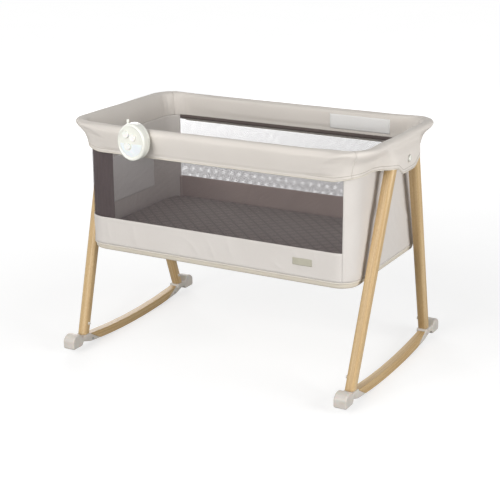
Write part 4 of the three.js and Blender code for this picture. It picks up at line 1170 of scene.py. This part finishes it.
foot = {
    "sleeveWidth": 25,
    "sleeveLap": 2.4,
    "sleeveEdge": 1.2,
    "seatX": 439,
    "seatWidth": 34,
    "seatEdge": 2.5,
    "seatBack": 246,
    "seatDepth": 17,
    "stopWidth": 38,
    "stopEdge": 3.4,
    "stopStart": 286,
    "stopEnd": 337,
    "stopBottom": 17,
    "stopTop": 58,
    "notch": 10,
    "bevel": 5,
    "voxel": 1.1,
}


def plateOf(outline, middle, width, edge):  # an outline of (depth, height) made a plate along the length
    obj = newDisc(len(outline))
    for vertex, (y, z) in zip(obj.data.vertices, outline):
        vertex.co = Vector((middle - width / 2, y, z)) * mm
    edit(obj)
    extrude(width, 0, 0)
    leaveEdit()
    facesOut(obj)
    roundEdges(obj, edge, 3, 40)
    return obj


start, end, lowest, legHeight = foot["stopStart"], foot["stopEnd"], foot["stopBottom"], leg["crossing"]
inside, notched = start + foot["bevel"], lowest + foot["notch"]
sleeve = plateOf([
    (rocker["underEnd"] + foot["sleeveLap"], underside(rocker["underEnd"]) + 0.3),
    (rocker["overEnd"], underside(rocker["overEnd"])),
    (start, notched),
    (inside, notched),
    (inside, legHeight),
    (rocker["overEnd"] + foot["bevel"], legHeight),
    (rocker["overEnd"] + 0.6, upperSide(rocker["overEnd"])),
], rocker["x"], foot["sleeveWidth"], foot["sleeveEdge"])
seatLow = legHeight - foot["seatDepth"]
seat = plateOf([
    (foot["seatBack"], seatLow + foot["bevel"]),
    (foot["seatBack"] + foot["bevel"], seatLow),
    (inside, seatLow),
    (inside, legHeight),
    (foot["seatBack"], legHeight),
], foot["seatX"], foot["seatWidth"], foot["seatEdge"])
deep, tall = end - start, foot["stopTop"] - lowest
roundTop = curveThrough([(start, legHeight - foot["bevel"])] + [
    (start + deep * y, lowest + tall * z)
    for y, z in ((0.12, 0.72), (0.3, 0.94), (0.55, 1), (0.8, 0.9), (1, 0.66))], (1, 2, 2, 2, 2))
stop = plateOf([
    (start, notched),
    (inside, lowest),
    (end - foot["bevel"] / 2, lowest),
    (end, lowest + foot["bevel"]),
    *reversed(roundTop),
], rocker["x"], foot["stopWidth"], foot["stopEdge"])
selectOnly(sleeve, seat, stop)
bpy.ops.object.join()
footMaster = bpy.context.object
applyModifier(footMaster, "REMESH", mode="VOXEL", voxel_size=foot["voxel"] * mm)
applyModifier(footMaster, "SMOOTH", factor=0.5, iterations=6)
for corner, matrix in corners.items():
    obj = ownCopy(footMaster, matrix)
    facesOut(obj)
    finishPiece(obj, f"foot_{corner}_cap", "cradle", feetPlastic, "foot_plastic", [f"foot_{corner}"])
bpy.data.objects.remove(footMaster)


def turnedDisc(centre, axis, radius, steps, sides=32):  # a disc grown by (radius share, travel) steps
    turn = Vector((0, 0, 1)).rotation_difference(Vector(axis)).to_matrix().to_4x4()
    size, travel = steps[0]
    obj = newDisc(sides, radius * size)
    edit(obj)
    for share, height in steps[1:]:
        extrude(0, 0, height - travel)
        bpy.ops.transform.resize(value=(share / size, share / size, 1), center_override=(0, 0, 0))
        size, travel = share, height
    leaveEdit()
    facesOut(obj)
    obj.data.transform(Matrix.Translation(Vector(centre) * mm) @ turn)
    return obj


plug = {
    "radius": 4.5,
    "height": 75.017,
    "steps": [(1, -3), (1, 0.7), (0.93, 1.05), (0.8, 1.2), (0.62, 1.2), (0.56, 0.85), (0.2, 0.8)],
}
screw = {
    "radius": 3,
    "x": 427.5,
    "y": 232,
    "belowMiddle": 5,
    "steps": [(1, -1.4), (1, -0.5), (0.92, -0.15), (0.75, 0), (0.5, 0), (0.46, -0.9), (0.1, -0.9)],
}
release = {
    "base": 467.5,
    "radius": 7.3,
    "steps": [(1, 0), (1, 12.2), (1.15, 12.4), (1.15, 14.4), (1.1, 15.3), (0.98, 15.9), (0.8, 16.3),
              (0.5, 16.5), (0.15, 16.6)],
}
plugX, plugY = legCentre(plug["height"])
plugPlace = (plugX - legHalf(plug["height"]), plugY, plug["height"])
screwHeight = (underside(screw["y"]) + upperSide(screw["y"])) / 2 - screw["belowMiddle"]
screwPlace = (screw["x"], screw["y"], screwHeight)
for corner, matrix in corners.items():
    disc = turnedDisc(plugPlace, (-1, 0, 0), plug["radius"], plug["steps"])
    head = turnedDisc(screwPlace, (-1, 0, 0), screw["radius"], screw["steps"], 24)
    for obj in (disc, head):
        obj.data.transform(matrix)
        facesOut(obj)
    finishPiece(disc, f"leg_plug_{corner}_cap", "cradle", hubPlastic, "gloss_plastic", [f"leg_plug_{corner}"],
                angle=40)
    finishPiece(head, f"foot_screw_{corner}_head", "cradle", zincSteel, "steel", [f"foot_screw_{corner}"],
                angle=35)
for name, side in ends.items():
    button = turnedDisc((side * release["base"], 0, buttonHole["height"]), (side, 0, 0), release["radius"],
                        release["steps"], 48)
    finishPiece(button, f"release_button_{name}_cap", f"release_{name}", glossPlastic, "gloss_plastic",
                [f"release_button_{name}"], angle=40)
print("feet and buttons moulded")


# Sound and light unit

unit = {
    "x": -217,
    "height": 659,
    "half": (45, 52),
    "face": -303,
    # (inset, depth) steps from the back to the front
    "backSteps": [(6.2, -270.2), (5, -270.3), (3.2, -271.1), (1.5, -272.8), (0.5, -275), (0, -277.6),
                  (0, -283.6), (0.25, -284.6), (0.9, -285.2), (2.5, -285.3)],
    "frontSteps": [(2.5, -285.5), (0.9, -285.6), (0.25, -286.2), (0, -287.2), (0, -299.6), (0.35, -301.6),
                   (1.2, -303.4), (2.6, -304.8), (4.4, -305.5), (5.8, -305.45), (7.2, -304.9), (8.3, -304),
                   (9.1, -303.2), (10, -303)],
}


def unitPlace(across, forward, up):  # measured from the middle of the unit's face
    return unit["x"] + across, unit["face"] - forward, unit["height"] + up


def ovalBody(steps, sides=96):
    obj = newDisc(sides, upright=True)
    edit(obj)
    inset, depth = steps[0]
    middle = Vector((unit["x"], depth, unit["height"])) * mm
    bpy.ops.transform.resize(value=((unit["half"][0] - inset) * mm, 1, (unit["half"][1] - inset) * mm))
    bpy.ops.transform.translate(value=middle)
    for nextInset, nextDepth in steps[1:]:
        extrude(0, nextDepth - depth, 0)
        bpy.ops.transform.resize(value=(
            (unit["half"][0] - nextInset) / (unit["half"][0] - inset), 1,
            (unit["half"][1] - nextInset) / (unit["half"][1] - inset)), center_override=middle)
        inset, depth = nextInset, nextDepth
    leaveEdit()
    facesOut(obj)
    return obj


def unitDisc(across, up, radius, steps, sides, forward=0):
    return turnedDisc(unitPlace(across, forward, up), (0, -1, 0), radius, steps, sides)


slots = {"across": 45, "depth": -280.2, "pitch": 5.5, "size": (8, 6, 2.4), "edge": 1.1}
backShell = ovalBody(unit["backSteps"])
for i in range(5):
    clearSelection()
    place = (unit["x"] + slots["across"], slots["depth"], unit["height"] + (i - 2) * slots["pitch"])
    bpy.ops.mesh.primitive_cube_add(size=1, location=Vector(place) * mm, scale=Vector(slots["size"]) * mm)
    slotTool = bpy.context.object
    roundEdges(slotTool, slots["edge"], 3, 30)
    cutAway(backShell, slotTool)
finishPiece(backShell, "unit_back_case", "sound_unit", glossPlastic, "gloss_plastic", ["unit_back_shell"],
            angle=30)

unitButtons = {
    "power_button": (-15, 21),
    "sound_button": (7, 14),
    "light_button": (-11, -11.5),
}
buttonCap = {
    "radius": 9.5,
    "well": 9.8,
    "collar": 13,
    "steps": [(1, -3.4), (1, 0.7), (0.97, 1.25), (0.9, 1.6), (0.8, 1.6), (0.62, 1.25), (0.4, 1.05),
              (0.12, 1)],
    "toolDepth": -6,
}
frontShell = ovalBody(unit["frontSteps"])
for across, up in unitButtons.values():  # a well for each button to sink into
    cutAway(frontShell, unitDisc(across, up, buttonCap["well"], [(1, 0), (1, 9)], 56, buttonCap["toolDepth"]))
finishPiece(frontShell, "unit_front_case", "sound_unit", glossPlastic, "gloss_plastic", ["unit_front_shell"],
            angle=30)
frontShell.data.materials.append(facePlastic)
for face in frontShell.data.polygons:
    if abs(face.center.y - unit["face"] * mm) < 0.2 * mm:
        face.material_index = 1

lens = {"half": (35.05, 40.5), "top": -4, "sunk": 2, "proud": 0.5, "edge": 0.4}
lamp = newDisc(128, upright=True)
for vertex in lamp.data.vertices:
    across, up = vertex.co.x * lens["half"][0], vertex.co.z * lens["half"][1]
    vertex.co = Vector(unitPlace(across, -lens["sunk"], up)) * mm
edit(lamp)
lensTop = Vector((0, 0, unit["height"] + lens["top"])) * mm
bpy.ops.mesh.bisect(plane_co=lensTop, plane_no=(0, 0, 1), clear_outer=True)
bpy.ops.mesh.select_all(action="SELECT")
extrude(0, -(lens["sunk"] + lens["proud"]), 0)
leaveEdit()
facesOut(lamp)
cutAway(lamp, unitDisc(*unitButtons["light_button"], buttonCap["collar"], [(1, 0), (1, 14)], 64,
                       buttonCap["toolDepth"]))
roundEdges(lamp, lens["edge"], 2, 60)
finishPiece(lamp, "unit_lamp_window", "sound_unit", lampPlastic, "lamp_plastic", ["unit_lamp_lens"], angle=40)

for name, (across, up) in unitButtons.items():
    disc = unitDisc(across, up, buttonCap["radius"], buttonCap["steps"], 56)
    finishPiece(disc, f"unit_{name}_cap", name, buttonRubber, "button_rubber", [f"unit_{name}"], angle=40)

clip = {
    "width": 70,
    "thickness": 2.6,
    "edge": 0.6,
    "path": [(-268.6, 666), (-268.6, 684), (-268.6, 689.5), (-267.4, 692.6), (-264.4, 694.1), (-259, 694.1),
             (-247, 694.1), (-241, 694.1), (-238, 692.9), (-236.4, 690), (-236.4, 684), (-236.4, 654.5)],
    "tabX": -248,
    "tabWidth": 8,
    "tabEdge": 0.5,
    "tab": [(-269.9, 692), (-266, 692), (-266.4, 698), (-267.6, 706), (-268.2, 714.4), (-269.4, 714.8),
            (-269.9, 712.8)],
}
clearSelection()
bpy.ops.mesh.primitive_plane_add(size=1)
strap = bpy.context.object
deleteWhere(strap, "VERT", lambda vertex: vertex.co.y > 0)
for vertex in strap.data.vertices:
    vertex.co = Vector((unit["x"] + math.copysign(clip["width"] / 2, vertex.co.x), *clip["path"][0])) * mm
edit(strap)
for (y, z), (nextY, nextZ) in zip(clip["path"], clip["path"][1:]):
    extrude(0, nextY - y, nextZ - z)
leaveEdit()
thicken(strap, clip["thickness"], 0)
tab = plateOf(clip["tab"], clip["tabX"], clip["tabWidth"], clip["tabEdge"])
selectOnly(strap, tab)
bpy.ops.object.join()
roundEdges(strap, clip["edge"], 2, 60)
facesOut(strap)
finishPiece(strap, "unit_clip_plate", "sound_unit", glossPlastic, "gloss_plastic", ["unit_clip"], angle=35)
print("unit built")


# Blank patches and tag, sewn on

patches = {
    "end_wall_patch": {"centre": (-422.4, 8, 482), "size": (224, 140), "facing": (1, 0, 0), "wave": 0.5,
                       "cloth": panelCloths["left_end"], "look": (satinPatch, "blank_patch")},
    "rail_patch": {"centre": (226, 237.4, 653), "size": (192, 44), "facing": (0, -1, 0), "wave": 0.4,
                   "cloth": pads["back"], "look": (satinPatch, "blank_patch")},
    "front_tag": {"centre": (279, -240.6, 373), "size": (58, 20), "facing": (0, -1, 0), "wave": 0.2,
                  "cloth": panelCloths["front_lower"], "look": (cottonTag, "woven_tag")},
}
sewing = {"step": 4, "clear": 20, "above": 0.7, "thickness": 0.5}
for name, facts in patches.items():
    width, height = facts["size"]
    obj = newGrid(max(12, round(width / sewing["step"])), max(8, round(height / sewing["step"])))
    facing = Vector(facts["facing"])
    sideways = Vector((0, 0, 1)).cross(facing)
    for vertex in obj.data.vertices:  # laid clear of the cloth, then pressed on it
        u, v = vertex.co.x, vertex.co.y
        free = smooth((0.5 - abs(u)) * 12) * smooth((0.5 - abs(v)) * 8)
        puff = facts["wave"] * free * (0.5 + drift(u * 3, v * 2, 5))
        place = Vector(facts["centre"]) + sideways * (u * width) + Vector((0, 0, v * height))
        vertex.co = (place + facing * (puff + sewing["clear"])) * mm
    scaleUvs(obj, width, height)
    onEnd = facing.x > 0
    applyModifier(obj, "SHRINKWRAP", target=facts["cloth"], wrap_method="PROJECT", use_project_x=onEnd,
                  use_project_y=not onEnd, use_project_z=False, use_negative_direction=onEnd,
                  use_positive_direction=not onEnd, offset=sewing["above"] * mm)
    thicken(obj, sewing["thickness"], 0)
    finishPiece(obj, f"{name}_cloth", "cradle", *facts["look"], [name])
print("patches sewn")


# Finishes of the frame pieces that stay as they are

carried = {
    "rail_tube_front": zincSteel,
    "rail_tube_back": zincSteel,
    "base_wire_frame": coatedSteel,
    "base_cross_bar_right": coatedSteel,
    "base_cross_bar_left": coatedSteel,
    "base_board": hardboard,
    "hub_right": hubPlastic,
    "hub_left": hubPlastic,
    "unit_battery_hatch": glossPlastic,
    "unit_battery_upper": zincSteel,
    "unit_battery_lower": zincSteel,
    "unit_circuit_board": circuitBoard,
    "unit_speaker": zincSteel,
}
for name, material in carried.items():
    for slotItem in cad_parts[name].material_slots:
        slotItem.link = "OBJECT"
        slotItem.material = material


# Floor, light and camera

studio = {
    "floorSize": 40,
    "aimHeight": 0.4,
    "floorLift": 0.62,
    "farLift": 0.86,
    "liftFrom": 0.8,
    "liftTo": 3.2,
    "worldStrength": 0.27,
}


def joinValues(tree, operation, first, second):
    return addNode(tree, "ShaderNodeMath", {0: first, 1: second}, operation=operation).outputs[0]


clearSelection()
bpy.ops.mesh.primitive_plane_add(size=studio["floorSize"])
floor = bpy.context.object
floor.name = "floor"
floorMaterial, tree, shader = newMaterial("pale studio floor", Roughness=0.95, Specular_IOR_Level=0)
place = addNode(tree, "ShaderNodeTexCoord").outputs["Object"]
mottle = addNode(tree, "ShaderNodeTexNoise", {"Vector": place, "Scale": 2})
tree.links.new(shade(tree, mottle.outputs["Fac"], "#b6b6b6", "#bababa"), shader.inputs["Base Color"])
reach = addNode(tree, "ShaderNodeVectorMath", {0: place}, operation="LENGTH")
lifted = addNode(tree, "ShaderNodeMapRange", {
    "Value": reach.outputs["Value"], "From Min": studio["liftFrom"], "From Max": studio["liftTo"],
    "To Min": studio["floorLift"], "To Max": studio["farLift"]})
rays = addNode(tree, "ShaderNodeLightPath").outputs
seen = joinValues(tree, "MULTIPLY", rays["Is Camera Ray"], lifted.outputs["Result"])
lift = addNode(tree, "ShaderNodeEmission", {"Color": (1, 1, 1, 1), "Strength": seen})
both = addNode(tree, "ShaderNodeAddShader", {0: shader.outputs["BSDF"], 1: lift.outputs["Emission"]})
tree.links.new(both.outputs[0], tree.nodes["Material Output"].inputs["Surface"])
floor.data.materials.append(floorMaterial)

scene = bpy.context.scene
scene.world = bpy.data.worlds.new("studio")
scene.world.use_nodes = True
tree = scene.world.node_tree
background = tree.nodes["Background"]
rays = addNode(tree, "ShaderNodeLightPath").outputs
shown = joinValues(tree, "MAXIMUM", rays["Is Camera Ray"], rays["Is Transmission Ray"])
shown = joinValues(tree, "MAXIMUM", shown, rays["Is Glossy Ray"])
strength = addNode(tree, "ShaderNodeMapRange", {"Value": shown, "To Min": studio["worldStrength"]})
tree.links.new(strength.outputs["Result"], background.inputs["Strength"])
background.inputs["Color"].default_value = (1, 1, 1, 1)

lamps = {
    "key": {"place": (-1.6, -2.6, 3.4), "size": 2.4, "power": 20},
    "front": {"place": (-0.3, -3.6, 1.6), "size": 2, "power": 84},
    "side": {"place": (3.3, -0.5, 1.12), "size": 1.8, "power": 64},
    "back": {"place": (-2.4, 2.7, 1.3), "size": 2, "power": 46},
}
for name, facts in lamps.items():
    clearSelection()
    bpy.ops.object.light_add(type="AREA", location=facts["place"])
    light = bpy.context.object
    light.name = name
    light.data.size = facts["size"]
    light.data.energy = facts["power"]
    aim = Vector((0, 0, studio["aimHeight"])) - Vector(facts["place"])
    light.rotation_euler = aim.to_track_quat("-Z", "Y").to_euler()

view = {"place": (1.7350, -3.1554, 1.4462), "yaw": 28.99, "pitch": 17.70, "roll": -0.30, "lens": 92.4}
yaw, pitch, roll = [math.radians(view[key]) for key in ("yaw", "pitch", "roll")]
ahead = Vector((-math.sin(yaw) * math.cos(pitch), math.cos(yaw) * math.cos(pitch), -math.sin(pitch)))
across = Vector((math.cos(yaw), math.sin(yaw), 0))
upward = across.cross(ahead)
right = across * math.cos(roll) + upward * math.sin(roll)
top = upward * math.cos(roll) - across * math.sin(roll)
clearSelection()
bpy.ops.object.camera_add(location=view["place"])
camera = bpy.context.object
camera.rotation_euler = Matrix((right, top, -ahead)).transposed().to_euler()
camera.data.lens = view["lens"]
camera.data.sensor_width = 36
scene.camera = camera
scene.view_settings.view_transform = "Standard"
print("studio set")
